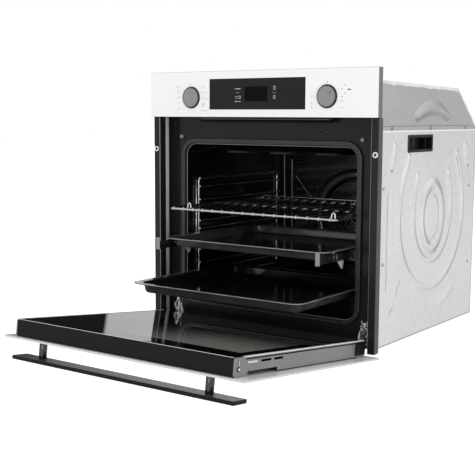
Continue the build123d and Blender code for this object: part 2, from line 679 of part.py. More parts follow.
def make_side_rack():
    """Right chrome side rack: a bent frame and pairs of level wires."""
    low = LEVEL_FIRST - 22
    high = LEVEL_FIRST + (LEVEL_COUNT - 1) * LEVEL_PITCH + LEVEL_PAIR + 3
    y0, y1 = LEVEL_START, LEVEL_END
    upper = [(UPRIGHT_X, y0, CAV_MID), (UPRIGHT_X, y0, high), (UPRIGHT_X, y1, high), (UPRIGHT_X, y1, CAV_MID)]
    lower = [(UPRIGHT_X, y0, CAV_MID), (UPRIGHT_X, y0, low), (UPRIGHT_X, y1, low), (UPRIGHT_X, y1, CAV_MID)]
    rack = bent_wire(upper, WIRE_R, 12.0) + bent_wire(lower, WIRE_R, 12.0)
    for level in range(LEVEL_COUNT):
        z = LEVEL_FIRST + level * LEVEL_PITCH
        for height in (z, z + LEVEL_PAIR):
            rack += rod((LEVEL_X, y0 - 2, height), (LEVEL_X, y1 + 5, height), WIRE_R)
    return rack


def make_rail_fixed():
    """Right fixed runner, clipped to the side rack."""
    y0 = RUNNER_FRONT + TRAY_TRAVEL + 10
    rail = block(213.4, 214.8, y0, y0 + RUNNER_L, RUNNER_LOW, RUNNER_LOW + 18)
    for low in (RUNNER_LOW, RUNNER_LOW + 16.6):
        rail += block(211.6, 214.8, y0, y0 + RUNNER_L, low, low + 1.4)
    for y in (y0 + 30, y0 + RUNNER_L - 45):
        rail += block(214.8, 217.6, y, y + 14, RUNNER_LOW + 1, RUNNER_LOW + 17)
    return rail


def make_rail_middle():
    """Right middle runner."""
    y0 = RUNNER_FRONT + TRAY_TRAVEL / 2 + 6
    rail = block(210.0, 211.2, y0, y0 + RUNNER_L, RUNNER_LOW + 2, RUNNER_LOW + 16)
    rail += block(211.2, 213.0, y0, y0 + RUNNER_L, RUNNER_LOW + 6.5, RUNNER_LOW + 11.5)
    return rail


def make_rail_moving():
    """Right moving runner, with the bracket which holds the tray's front edge."""
    y0 = RUNNER_FRONT
    rail = block(206.8, 208.2, y0, y0 + RUNNER_L, RUNNER_LOW, RUNNER_LOW + 18)
    for low in (RUNNER_LOW, RUNNER_LOW + 16.6):
        rail += block(206.8, 209.6, y0, y0 + RUNNER_L, low, low + 1.4)
    rail += block(204.6, 215.0, y0 - 1.5, y0, RUNNER_LOW - 1, TRAY_Z + 2)
    for y in (y0 + 60, y0 + 250):
        rail += block(206.8, 214.0, y, y + 12, RUNNER_LOW + 18.6, TRAY_Z - TRAY_SHEET - 0.1)
        rail += block(206.8, 208.2, y, y + 12, RUNNER_LOW + 17, RUNNER_LOW + 19)
    return rail


def make_wire_rack():
    y0, y1 = RACK_FRONT, RACK_FRONT + RACK_DEPTH
    edge = RACK_HALF - RAIL_WIRE_R
    front = [(0, y0 + 3, RACK_Z), (edge, y0 + 3, RACK_Z), (edge, y1 - 3, RACK_Z), (0, y1 - 3, RACK_Z)]
    back = [(-x, y, z) for x, y, z in front]
    rack = bent_wire(front, RAIL_WIRE_R, 9.0) + bent_wire(back, RAIL_WIRE_R, 9.0)
    rod_z = RACK_Z + RAIL_WIRE_R
    pitch = 2 * (edge - 12) / (RACK_RODS - 1)
    for step in range(RACK_RODS):
        x = -edge + 12 + step * pitch
        ends = [(x, y0 + 0.5, rod_z - 5), (x, y0 + 0.5, rod_z + 1), (x, y1 - 1, rod_z + 1)]
        rack += bent_wire(ends, RACK_ROD_R, 3.0)
    rack += rod((-edge, (y0 + y1) / 2, RACK_Z), (edge, (y0 + y1) / 2, RACK_Z), RACK_ROD_R)
    end_x, end_y, top = edge - 16, y1 - 3, RACK_Z + RACK_STOP
    stop = [(-end_x, end_y, RACK_Z), (-end_x, end_y, top), (end_x, end_y, top), (end_x, end_y, RACK_Z)]
    rack += bent_wire(stop, RACK_ROD_R, RACK_STOP / 2)
    return rack


def pressed_tray(half, front, depth, z, drop, corner):
    """Pressed sheet tray with a flat rim; z is the top of the rim."""
    inset = TRAY_RIM
    middle = Pos(0, front + depth / 2, z)
    rim = middle * extrude(RectangleRounded(2 * half, depth, corner), -TRAY_SHEET)
    mouth_w = 2 * (half - inset)
    mouth_d = depth - 2 * inset
    mouth_r = corner - inset * 0.5
    outer = middle * extrude(RectangleRounded(mouth_w, mouth_d, mouth_r), -drop, taper=TRAY_TAPER)
    inner = middle * extrude(
        RectangleRounded(mouth_w - 2 * TRAY_SHEET, mouth_d - 2 * TRAY_SHEET, mouth_r - TRAY_SHEET),
        -(drop - TRAY_SHEET), taper=TRAY_TAPER)
    return rim + outer - inner


def make_baking_tray():
    return pressed_tray(TRAY_HALF, TRAY_FRONT, TRAY_DEPTH, TRAY_Z, TRAY_DROP, TRAY_CORNER)


def make_deep_tray():
    return pressed_tray(DEEP_HALF, DEEP_FRONT, DEEP_DEPTH, DEEP_Z, DEEP_DROP, DEEP_CORNER)


# ---------------------------------------------------------------- small parts

def make_bumper():
    stub = rod((BUMPER_X, GASKET_Y + 0.2, BUMPER_Z), (BUMPER_X, PLATE_Y - 0.05, BUMPER_Z), 4.5)
    return fillet(stub.edges().sort_by(Axis.Y)[0], 2.0)


def make_panel_screws():
    """Screw heads on both side panels and on the rear panel."""
    heads = []
    for y, z in SIDE_SCREWS:
        right = screw(BODY_HALF + 0.05, y, z, (1, 0, 0))
        heads += [right, mirrored(right)]
    for x in REAR_SCREWS_X:
        for z in REAR_SCREWS_Z:
            heads.append(screw(x, BODY_REAR + 0.05, z, (0, 1, 0)))
    return heads


# ---------------------------------------------------------------- write every piece

save("front_frame", make_front_frame())
save("cavity_liner", make_cavity_liner())
save("rear_cover", make_rear_cover())
save("door_gasket", make_gasket())
save("side_panel_right", make_side_panel())
save("side_panel_left", mirrored(make_side_panel()))
save("grip_recesses", make_grip_recess(), mirrored(make_grip_recess()))
save("base_panel", make_base_panel())
save("rear_panel", make_rear_panel())
save("top_cover", make_top_cover())
save("divider_plate", make_divider_plate())
save("insulation_blanket", make_insulation())
save("grill_element", make_grill_element())
save("bottom_element", make_bottom_element())
save("ring_element", make_ring_element())
save("fan_blade", make_fan_blade())
save("fan_motor", make_fan_motor())
save("blower_housing", make_blower_housing())
save("blower_wheel", make_blower_wheel())
save("blower_motor", make_blower_motor())
save("air_duct", make_air_duct())
save("outlet_deflector", make_outlet_deflector())
save("lamp_holder_and_bulb", make_lamp_holder(), make_lamp_bulb())
save("lamp_lens", make_lamp_lens())
save("temperature_probe", make_temperature_probe())
save("terminal_block", make_terminal_block())

save("fascia_glass", make_fascia_glass())
save("fascia_carrier", make_fascia_carrier())
save("display_panel", make_display_panel())
save("control_board", make_control_board(), make_display_module())
save("selector_switches", make_selector_switch(), mirrored(make_selector_switch()))
save("knob_shaft_right", make_switch_shaft())
save("knob_shaft_left", mirrored(make_switch_shaft()))
save("knob_cap_right", make_knob_cap())
save("knob_cap_left", mirrored(make_knob_cap()))

save("door_outer_glass", opened(make_outer_glass()))
save("door_middle_glass", opened(make_middle_glass()))
save("door_inner_glass", opened(make_inner_glass()))
save("door_profiles", opened(make_door_profile()), opened(mirrored(make_door_profile())))
save("door_trim", opened(make_door_trim()))
save("trim_caps", opened(make_trim_cap()), opened(mirrored(make_trim_cap())))
save("door_bottom_rail", opened(make_bottom_rail()))
save("door_spacers", *make_door_spacers())
save("hinge_bodies", opened(make_hinge_body()), opened(mirrored(make_hinge_body())))
save("hinge_pins", opened(make_hinge_pin()), opened(mirrored(make_hinge_pin())))
save("handle_bar", opened(make_handle_bar()))
save("handle_posts", opened(make_handle_post()), opened(mirrored(make_handle_post())))

save("hinge_arms", make_hinge_arm(), mirrored(make_hinge_arm()))
save("hinge_receivers", make_hinge_receiver(), mirrored(make_hinge_receiver()))
save("lock_lever_right", make_lock_lever())
save("lock_lever_left", mirrored(make_lock_lever()))

save("side_racks", make_side_rack(), mirrored(make_side_rack()))
save("rail_fixed", make_rail_fixed(), mirrored(make_rail_fixed()))
save("rail_middle", make_rail_middle(), mirrored(make_rail_middle()))
save("rail_moving", make_rail_moving(), mirrored(make_rail_moving()))
save("wire_rack", make_wire_rack())
save("baking_tray", make_baking_tray())
save("deep_tray", make_deep_tray())

save("bumpers", make_bumper(), mirrored(make_bumper()))
save("panel_screws", *make_panel_screws())
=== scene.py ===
import json
import math

import bmesh
import bpy
import numpy as np
from mathutils import Matrix, Quaternion, Vector


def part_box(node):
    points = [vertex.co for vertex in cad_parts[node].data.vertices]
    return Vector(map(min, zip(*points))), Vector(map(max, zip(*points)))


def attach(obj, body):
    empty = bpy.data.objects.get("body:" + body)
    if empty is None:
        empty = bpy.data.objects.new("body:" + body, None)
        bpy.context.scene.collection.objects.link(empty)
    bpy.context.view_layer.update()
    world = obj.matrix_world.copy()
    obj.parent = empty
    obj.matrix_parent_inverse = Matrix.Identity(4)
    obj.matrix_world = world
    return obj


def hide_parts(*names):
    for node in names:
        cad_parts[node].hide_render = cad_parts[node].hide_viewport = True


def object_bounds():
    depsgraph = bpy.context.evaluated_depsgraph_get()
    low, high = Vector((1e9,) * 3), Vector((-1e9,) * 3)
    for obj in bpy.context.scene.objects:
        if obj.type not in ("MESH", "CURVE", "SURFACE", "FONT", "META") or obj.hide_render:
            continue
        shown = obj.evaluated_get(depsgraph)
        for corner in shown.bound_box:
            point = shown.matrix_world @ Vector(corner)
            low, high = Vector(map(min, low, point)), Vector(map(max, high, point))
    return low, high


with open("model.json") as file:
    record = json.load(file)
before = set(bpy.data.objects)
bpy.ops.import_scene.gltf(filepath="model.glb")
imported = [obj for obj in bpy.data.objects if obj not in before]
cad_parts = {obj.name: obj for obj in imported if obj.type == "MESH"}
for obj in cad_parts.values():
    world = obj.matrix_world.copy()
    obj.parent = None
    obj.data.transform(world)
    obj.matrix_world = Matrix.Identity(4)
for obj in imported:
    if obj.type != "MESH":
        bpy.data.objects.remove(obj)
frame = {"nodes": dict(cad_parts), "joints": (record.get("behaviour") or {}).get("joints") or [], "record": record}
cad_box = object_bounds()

MM = 0.001

# ---------------------------------------------------------------- materials


MATERIALS = {}


class Nodes:
    """A node tree, with short ways to add nodes and join them."""

    def __init__(self, tree):
        self.tree = tree

    def node(self, kind, **values):
        made = self.tree.nodes.new(kind)
        for key, value in values.items():
            setattr(made, key, value)
        return made

    def link(self, start, end):
        self.tree.links.new(start, end)

    def math(self, operation, one, two=None):
        made = self.node("ShaderNodeMath", operation=operation)
        self.link(one, made.inputs[0])
        if two is not None:
            self.link(two, made.inputs[1])
        return made.outputs[0]

    def scaled_sum(self, value, factor, more):
        """A value times a fixed factor, plus another value."""
        made = self.node("ShaderNodeMath", operation="MULTIPLY_ADD")
        self.link(value, made.inputs[0])
        made.inputs[1].default_value = factor
        self.link(more, made.inputs[2])
        return made.outputs[0]

    def ramp(self, fac, stops):
        ramp = self.node("ShaderNodeValToRGB")
        elements = ramp.color_ramp.elements
        while len(elements) < len(stops):
            elements.new(0.5)
        for element, (place, colour) in zip(elements, stops):
            element.position = place
            element.color = (*colour, 1.0)
        self.link(fac, ramp.inputs["Fac"])
        return ramp.outputs["Color"]

    def spread(self, fac, low, high, start=0.3, end=0.7, blend="LINEAR"):
        """Map start..end to low..high; noise stays mostly within 0.3..0.7."""
        span = self.node("ShaderNodeMapRange", interpolation_type=blend)
        span.inputs["From Min"].default_value = start
        span.inputs["From Max"].default_value = end
        span.inputs["To Min"].default_value = low
        span.inputs["To Max"].default_value = high
        self.link(fac, span.inputs["Value"])
        return span.outputs["Result"]


class Shader(Nodes):
    """One node-based material around a Principled shader, in the object's own coordinates."""

    def __init__(self, name, metal=0.0, coat=0.0, specular=0.5):
        self.mat = bpy.data.materials.new(name)
        self.mat.use_nodes = True
        super().__init__(self.mat.node_tree)
        self.bsdf = self.tree.nodes["Principled BSDF"]
        self.bsdf.inputs["Metallic"].default_value = metal
        self.bsdf.inputs["Coat Weight"].default_value = coat
        self.bsdf.inputs["Coat Roughness"].default_value = 0.05
        self.bsdf.inputs["IOR"].default_value = 1.5
        self.bsdf.inputs["Specular IOR Level"].default_value = specular
        self.coords = self.node("ShaderNodeTexCoord").outputs["Object"]
        MATERIALS[name] = self.mat

    def stretched(self, stretch):
        mapping = self.node("ShaderNodeMapping")
        mapping.inputs["Scale"].default_value = stretch
        self.link(self.coords, mapping.inputs["Vector"])
        return mapping.outputs["Vector"]

    def noise(self, scale, detail=3.0, stretch=(1, 1, 1)):
        texture = self.node("ShaderNodeTexNoise")
        texture.inputs["Scale"].default_value = scale
        texture.inputs["Detail"].default_value = detail
        self.link(self.stretched(stretch), texture.inputs["Vector"])
        return texture.outputs["Fac"]

    def cells(self, scale):
        texture = self.node("ShaderNodeTexVoronoi")
        texture.inputs["Scale"].default_value = scale
        self.link(self.coords, texture.inputs["Vector"])
        return texture

    def bump(self, height, strength, distance=0.0002):
        bump = self.node("ShaderNodeBump")
        bump.inputs["Strength"].default_value = strength
        bump.inputs["Distance"].default_value = distance
        self.link(height, bump.inputs["Height"])
        self.link(bump.outputs["Normal"], self.bsdf.inputs["Normal"])

    def colour(self, socket):
        self.link(socket, self.bsdf.inputs["Base Color"])

    def roughness(self, socket):
        self.link(socket, self.bsdf.inputs["Roughness"])


def shaded(colour, factor):
    """A colour made lighter or darker."""
    return tuple(min(1.0, channel * factor) for channel in colour)


def surface(name, colour, rough, metal=0.0, vary=0.05, patch=7.0, grain=700.0, stretch=(1, 1, 1),
            rough_vary=0.05, bump=0.1, coat=0.0, specular=0.5):
    """Plain material: slow colour patches, and a fine grain in roughness and bump."""
    shader = Shader(name, metal=metal, coat=coat, specular=specular)
    patches = shader.noise(patch)
    shader.colour(shader.ramp(patches, [(0.3, shaded(colour, 1 - vary)), (0.7, shaded(colour, 1 + vary))]))
    fine = shader.noise(grain, 4.0, stretch)
    shader.roughness(shader.spread(fine, max(0.01, rough - rough_vary), rough + rough_vary))
    shader.bump(fine, bump)


FLECK_SHARE = 0.04


def speckled(name, colour, fleck, rough, coat):
    """Glossy vitreous enamel with small light flecks and a slight orange peel."""
    shader = Shader(name, coat=coat)
    distance = shader.cells(420.0).outputs["Distance"]
    shader.colour(shader.ramp(distance, [(FLECK_SHARE, fleck), (FLECK_SHARE * 2.2, colour)]))
    peel = shader.noise(90.0, 2.0)
    shader.roughness(shader.spread(peel, rough * 0.8, rough * 1.25))
    shader.bump(peel, 0.12, 0.0004)


def galvanised(name, colour, rough=0.42):
    """Zinc-coated sheet: flat crystals that differ slightly in tone and gloss."""
    shader = Shader(name, metal=0.8)
    parts = shader.node("ShaderNodeSeparateColor")
    shader.link(shader.cells(150.0).outputs["Color"], parts.inputs["Color"])
    crystals = parts.outputs["Red"]
    tone = shader.scaled_sum(crystals, 0.35, shader.noise(5.0, 4.0))
    shader.colour(shader.ramp(tone, [(0.25, shaded(colour, 0.93)), (0.9, shaded(colour, 1.06))]))
    shader.roughness(shader.spread(crystals, rough - 0.02, rough + 0.03))
    shader.bump(shader.noise(40.0, 2.0), 0.04)


def two_faced(name, colour, edge, rough, face_axis, metal=0.0, grain=None):
    """Flat plate or bar: the two faces across face_axis get the main colour and less roughness, the other faces
    the edge colour and more roughness; on the handle bar that darker colour is painted shade.
    """
    shader = Shader(name, metal=metal)
    normal = shader.node("ShaderNodeSeparateXYZ")
    shader.link(shader.node("ShaderNodeTexCoord").outputs["Normal"], normal.inputs[0])
    facing = shader.math("ABSOLUTE", normal.outputs[face_axis])
    tone = shader.scaled_sum(shader.noise(6.0), 0.02, facing)
    shader.colour(shader.ramp(tone, [(0.8, edge), (0.97, colour)]))
    shader.roughness(shader.spread(facing, 0.35, rough, 0.8, 1.0))
    if grain:
        shader.bump(shader.noise(260.0, 4.0, grain), 0.12)


def pane_with_painted_light(name, dark, light, low, high):
    """Dark inner pane which lightens towards one corner: painted light, for the pale outer glass that shows
    through there where light falls on it.
    """
    shader = Shader(name)
    place = shader.node("ShaderNodeSeparateXYZ")
    shader.link(shader.coords, place.inputs[0])
    shares = [shader.spread(place.outputs[axis], 0.0, 1.0, start * MM, end * MM, "SMOOTHSTEP")
              for axis, start, end in zip("XY", low, high)]
    shader.colour(shader.ramp(shader.math("MULTIPLY", *shares), [(0.0, dark), (1.0, light)]))
    shader.roughness(shader.spread(shader.noise(60.0), 0.02, 0.03))


def clear_glass(name, tint):
    shader = Shader(name)
    shader.bsdf.inputs["Transmission Weight"].default_value = 0.0
    shader.bsdf.inputs["Alpha"].default_value = 0.35
    shader.colour(shader.ramp(shader.noise(4.0), [(0.3, tint), (0.7, shaded(tint, 1.03))]))
    shader.roughness(shader.spread(shader.noise(60.0), 0.02, 0.05))


surface("frame_enamel", (0.011, 0.011, 0.0115), 0.17, vary=0.1, grain=300, bump=0.03, specular=0.22)
speckled("cavity_enamel", (0.003, 0.003, 0.0035), (0.03, 0.03, 0.033), 0.14, coat=0.15)
surface("gasket", (0.016, 0.016, 0.017), 0.27, grain=500, bump=0.06)
galvanised("galvanised_steel", (0.78, 0.79, 0.80))
surface("glass_fibre", (0.7, 0.62, 0.35), 0.95, vary=0.2, grain=250, bump=1.0)
surface("element_sheath", (0.02, 0.019, 0.018), 0.35, vary=0.2, specular=0.3)
surface("aluminium", (0.75, 0.75, 0.76), 0.3, metal=1.0)
surface("motor_steel", (0.25, 0.25, 0.27), 0.4, metal=0.7)
surface("black_plastic", (0.006, 0.006, 0.006), 0.42, grain=1500, bump=0.2, specular=0.25)
surface("lamp_parts", (0.8, 0.79, 0.74), 0.3)
clear_glass("clear_glass", (0.8, 0.85, 0.85))
surface("brushed_steel", (0.6, 0.6, 0.61), 0.3, metal=1.0, grain=300, stretch=(8, 1, 8))
two_faced("white_glass", (0.78, 0.782, 0.785), (0.13, 0.134, 0.134), 0.08, "Y")
two_faced("door_glass", (0.76, 0.764, 0.762), (0.5, 0.53, 0.49), 0.08, "Z")
# Window pane: dark, with painted light towards one corner.
pane_with_painted_light("window_pane_painted_light", (0.004, 0.004, 0.005), (0.2, 0.205, 0.185), (-120, -150), (130, -400))
surface("grey_plastic", (0.125, 0.13, 0.138), 0.45, grain=1500, bump=0.2)
surface("black_glass", (0.013, 0.013, 0.014), 0.12, rough_vary=0.02, bump=0.0, specular=0.15)
surface("circuit_board", (0.02, 0.06, 0.035), 0.4, vary=0.15, patch=120)
surface("knob_grey", (0.21, 0.21, 0.215), 0.42, grain=1800, bump=0.2)
surface("inner_glass", (0.01, 0.01, 0.012), 0.03, rough_vary=0.01, bump=0.0)
surface("silver_profile", (0.3, 0.292, 0.286), 0.32, metal=0.9, vary=0.1, grain=200, stretch=(1, 1, 9))
surface("trim_black", (0.008, 0.008, 0.008), 0.5, grain=1600, bump=0.12, specular=0.12)
surface("hinge_steel", (0.7, 0.7, 0.71), 0.22, metal=1.0, vary=0.1)
# Handle bar: its front, back and ends get the dark edge colour, its upward and downward faces the lighter one:
# painted shade.
two_faced("handle_anodised", (0.085, 0.076, 0.071), (0.012, 0.011, 0.011), 0.36, "Z", 0.75, (0.06, 9, 9))
surface("dark_chrome", (0.085, 0.085, 0.088), 0.15, metal=1.0, bump=0.02)
surface("chrome_wire", (0.78, 0.78, 0.79), 0.12, metal=1.0, bump=0.05)
surface("bright_wire", (0.85, 0.85, 0.85), 0.4, vary=0.1, metal=0.3)
surface("rail_steel", (0.34, 0.34, 0.35), 0.25, metal=1.0, grain=300, stretch=(9, 0.4, 9))
speckled("tray_enamel", (0.008, 0.0065, 0.006), (0.03, 0.026, 0.024), 0.12, coat=0.2)
surface("rubber_grey", (0.2, 0.2, 0.2), 0.7, bump=0.3)
surface("screw_steel", (0.65, 0.65, 0.66), 0.28, metal=1.0)
galvanised("side_sheet", (0.79, 0.795, 0.8), 0.2)
galvanised("cover_sheet", (0.51, 0.512, 0.515), 0.3)
# Lighter copy of the cover sheet for its folded lip and rim: painted highlight.
surface("lip_sheet_painted_highlight", (0.8, 0.8, 0.8), 0.4, metal=0.5, vary=0.12, patch=40, grain=300)
# Lighter grey on the black enamel frame's bends and edges: painted highlight; on the flange's cut edge partly bare
# metal too.
surface("bare_edge_and_painted_highlight", (0.3, 0.29, 0.29), 0.3, metal=0.3, coat=0.3)
# Plain white; on the side panels' fold it serves as painted highlight.
surface("ring_white", (0.75, 0.75, 0.74), 0.35)
surface("dark_screw", (0.08, 0.08, 0.08), 0.3, metal=0.8)
surface("legend_grey", (0.2, 0.2, 0.205), 0.5, bump=0.0)
surface("legend_pale", (0.5, 0.5, 0.51), 0.5, bump=0.0)
surface("legend_dark", (0.06, 0.06, 0.06), 0.5, bump=0.0)
surface("display_black", (0.003, 0.003, 0.004), 0.1, bump=0.0, specular=0.06)
surface("icon_light", (0.6, 0.6, 0.6), 0.4, bump=0.0)
surface("icon_dim", (0.2, 0.2, 0.2), 0.4, bump=0.0)
surface("knob_bezel", (0.045, 0.045, 0.048), 0.4, specular=0.2)
# Lighter metallic copy of the tray enamel for the rims: painted highlight.
surface("tray_rim_painted_highlight", (0.3, 0.27, 0.255), 0.14, metal=0.7, vary=0.3, patch=25, grain=500, bump=0.06)
# Lighter coated copy of the tray enamel for the walls: painted sheen.
surface("tray_wall_painted_sheen", (0.04, 0.036, 0.034), 0.16, vary=0.3, patch=18, coat=0.5)
surface("shelf_chrome", (0.55, 0.55, 0.56), 0.24, metal=1.0, bump=0.05)
surface("rear_emboss", (0.02, 0.02, 0.02), 0.16, vary=0.2, coat=1.0)
# Grey beads on the rear cover's black enamel edges: painted highlight.
surface("rear_bead_painted_highlight", (0.32, 0.31, 0.31), 0.3, metal=0.4, vary=0.4, patch=30)
surface("return_grey", (0.085, 0.085, 0.087), 0.38, vary=0.12, patch=18, metal=0.5)
surface("seam_dark", (0.12, 0.12, 0.122), 0.45, metal=0.6)
surface("bracket_steel", (0.72, 0.7, 0.67), 0.4, metal=0.3, vary=0.15, patch=60)
surface("deflector_blue", (0.07, 0.09, 0.115), 0.25, vary=0.3, patch=14)
# Light grey lines along the inner glass's edges: painted highlight.
surface("glass_edge_painted_highlight", (0.62, 0.63, 0.64), 0.2, vary=0.1, patch=30)
surface("border_glass", (0.003, 0.003, 0.0035), 0.03, rough_vary=0.01, bump=0.0)
surface("border_black", (0.004, 0.004, 0.0045), 0.5, bump=0.02, specular=0.03)

NODE_SLOTS = {part["node"]: part["material_slot"] for part in frame["record"]["subparts"]}
NODE_LOOKS = {"top_cover": "cover_sheet", "door_outer_glass": "door_glass", "wire_rack": "shelf_chrome"}

EDGE_BEVEL = 0.0004
GLASS_BEVEL = 0.0009


def soften(obj, width):
    """Small rounded edges, so that they catch the light."""
    weld = obj.modifiers.new("weld", "WELD")
    weld.merge_threshold = 0.00001
    bevel = obj.modifiers.new("round", "BEVEL")
    bevel.width = width
    bevel.segments = 2
    bevel.limit_method = "ANGLE"
    bevel.angle_limit = math.radians(40)
    bevel.harden_normals = True


for node, obj in frame["nodes"].items():
    obj.data.materials.clear()
    obj.data.materials.append(MATERIALS[NODE_LOOKS.get(node, NODE_SLOTS[node])])

for node in ("fascia_glass", "fascia_carrier", "display_panel", "knob_cap_right", "knob_cap_left",
             "door_outer_glass", "door_inner_glass", "door_profiles", "door_trim", "trim_caps", "handle_bar",
             "handle_posts",
             "hinge_arms", "lock_lever_right", "lock_lever_left", "rail_moving", "rail_middle", "rail_fixed",
             "outlet_deflector", "grip_recesses", "door_gasket", "bumpers", "panel_screws", "terminal_block"):
    soften(frame["nodes"][node], GLASS_BEVEL if node in ("fascia_glass", "door_outer_glass") else EDGE_BEVEL)

# ---------------------------------------------------------------- mesh helpers


def add_mesh(name, bm, material, body, replaces=(), smooth=True):
    """Make an object from a bmesh, give it its material and let it ride on its body."""
    bmesh.ops.recalc_face_normals(bm, faces=bm.faces)
    mesh = bpy.data.meshes.new(name)
    bm.to_mesh(mesh)
    bm.free()
    obj = bpy.data.objects.new(name, mesh)
    bpy.context.collection.objects.link(obj)
    mesh.materials.append(MATERIALS[material])
    for face in mesh.polygons:
        face.use_smooth = smooth
    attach(obj, body)
    if replaces:
        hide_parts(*replaces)
    return obj


def box_into(bm, low, high):
    """Add a box between two corners to a bmesh."""
    centre = (Vector(low) + Vector(high)) / 2
    size = Vector(high) - Vector(low)
    bmesh.ops.create_cube(bm, size=1.0, matrix=Matrix.Translation(centre) @ Matrix.Diagonal((*size, 1.0)))


def disc_into(bm, centre, direction, radius, depth, segments, top_radius=None):
    """Add a short cylinder or cone which stands on its centre point along a direction."""
    turn = Vector(direction).to_track_quat("Z", "Y").to_matrix().to_4x4()
    place = Matrix.Translation(Vector(centre) + Vector(direction).normalized() * depth / 2) @ turn
    bmesh.ops.create_cone(bm, cap_ends=True, segments=segments, radius1=radius,
                          radius2=radius if top_radius is None else top_radius, depth=depth, matrix=place)


def rounded_rectangle(half_w, half_h, corner, steps):
    """Corner points of a rounded rectangle, counter-clockwise from the right."""
    points = []
    for quarter, (cx, cy) in enumerate(((1, 1), (-1, 1), (-1, -1), (1, -1))):
        for step in range(steps + 1):
            angle = math.pi / 2 * (quarter + step / steps)
            points.append((cx * (half_w - corner) + corner * math.cos(angle),
                           cy * (half_h - corner) + corner * math.sin(angle)))
    return points


def loft_into(bm, rings, close=True):
    """Join rings of points with the same count into a skin; close joins the last ring to the first."""
    loops = [[bm.verts.new(point) for point in ring] for ring in rings]
    pairs = list(zip(loops, loops[1:]))
    if close:
        pairs.append((loops[-1], loops[0]))
    for one, two in pairs:
        count = len(one)
        for i in range(count):
            j = (i + 1) % count
            bm.faces.new((one[i], one[j], two[j], two[i]))
    return loops


def tube_into(bm, rings):
    """Join rings of points into a skin with both ends capped."""
    loops = loft_into(bm, rings, close=False)
    bm.faces.new(loops[0])
    bm.faces.new(loops[-1][::-1])


def profile_into(bm, outline, z0, z1):
    """Closed outline in x and y, extruded along z, in millimetres."""
    tube_into(bm, [[at(x, y, z) for x, y in outline] for z in (z0, z1)])


def face_ring(x, y, z, radius, count):
    """Points of a circle that faces the front, in millimetres."""
    turns = [math.tau * step / count for step in range(count)]
    return [at(x + radius * math.cos(turn), y, z + radius * math.sin(turn)) for turn in turns]


WIRE_BEND = 0.008
BEND_STEPS = 6


def add_wire(name, points, radius, material, body):
    """Round wire as a curve, with rounded corners."""
    curve = bpy.data.curves.new(name, "CURVE")
    curve.dimensions = "3D"
    curve.bevel_depth = radius
    curve.bevel_resolution = 4
    curve.use_fill_caps = True
    spline = curve.splines.new("POLY")
    path = rounded_path(points, WIRE_BEND)
    spline.points.add(len(path) - 1)
    for target, point in zip(spline.points, path):
        target.co = (*point, 1.0)
    obj = bpy.data.objects.new(name, curve)
    bpy.context.collection.objects.link(obj)
    curve.materials.append(MATERIALS[material])
    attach(obj, body)


def rounded_path(points, bend):
    """Straight runs with rounded corners, as points."""
    points = [Vector(point) for point in points]
    path = [points[0]]
    for before, corner, after in zip(points, points[1:], points[2:]):
        back = before - corner
        ahead = after - corner
        reach = min(bend, back.length * 0.45, ahead.length * 0.45)
        start = corner + back.normalized() * reach
        end = corner + ahead.normalized() * reach
        for step in range(BEND_STEPS + 1):
            share = step / BEND_STEPS
            path.append(start.lerp(corner, share).lerp(corner.lerp(end, share), share))
    path.append(points[-1])
    return path


# ---------------------------------------------------------------- sizes from the frame


def at(x, y, z):
    """A point given in millimetres."""
    return Vector((x, y, z)) * MM


def box_mm(node):
    """Lowest and highest corner of a CAD node in millimetres."""
    low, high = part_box(node)
    return low / MM, high / MM


PANEL_LOW, PANEL_HIGH = box_mm("side_panel_right")
COVER_LOW, COVER_HIGH = box_mm("top_cover")
GRIP_LOW, GRIP_HIGH = box_mm("grip_recesses")
GLASS_LOW = box_mm("fascia_glass")[0]
DISPLAY_LOW, DISPLAY_HIGH = box_mm("display_panel")
KNOB_LOW, KNOB_HIGH = box_mm("knob_cap_right")
FRAME_LOW, FRAME_HIGH = box_mm("front_frame")
LINER_LOW, LINER_HIGH = box_mm("cavity_liner")
HOOD_LOW = box_mm("outlet_deflector")[0]
FACE_Y = GLASS_LOW.y
KNOB_X = (KNOB_LOW.x + KNOB_HIGH.x) / 2
KNOB_Z = (KNOB_LOW.z + KNOB_HIGH.z) / 2
KNOB_R = (KNOB_HIGH.x - KNOB_LOW.x) / 2
SHEET = 1.2
SIDES = ((1, "right"), (-1, "left"))

DOOR_JOINT = next(joint for joint in frame["joints"] if joint["name"] == "door_hinge")
DOOR_PIVOT = Vector(DOOR_JOINT["pos_m"])
DOOR_TURN = Matrix.Rotation(math.radians(DOOR_JOINT["range_deg"][1]), 3, "X")


def open_door(point):
    """Turn a point of the closed door to the open rest place."""
    return DOOR_TURN @ (Vector(point) - DOOR_PIVOT) + DOOR_PIVOT


def open_mesh(bm):
    """Turn a mesh that was drawn on the closed door to the open rest place."""
    for vert in bm.verts:
        vert.co = open_door(vert.co)


# ---------------------------------------------------------------- pressed side panels


def distance_to(path, y, z):
    """Distance of grid points from a line of points."""
    best = np.full(y.shape, 1e9)
    for (y0, z0), (y1, z1) in zip(path, path[1:]):
        dy, dz = y1 - y0, z1 - z0
        share = np.clip(((y - y0) * dy + (z - z0) * dz) / (dy * dy + dz * dz), 0, 1)
        best = np.minimum(best, np.hypot(y - y0 - share * dy, z - z0 - share * dz))
    return best


def soft(value):
    """Smooth step from 0 to 1."""
    value = np.clip(value, 0, 1)
    return value * value * (3 - 2 * value)


def ridge(path, half_width, rise, y, z):
    """Rounded pressed ridge along a line of points."""
    return rise * soft(1 - distance_to(path, y, z) / half_width)


def ellipse(centre, half_w, half_h, start=0.0, end=360.0, steps=48):
    """Points of an ellipse between two angles in degrees."""
    points = []
    for step in range(steps + 1):
        angle = math.radians(start + (end - start) * step / steps)
        points.append((centre[0] + half_w * math.cos(angle), centre[1] + half_h * math.sin(angle)))
    return points


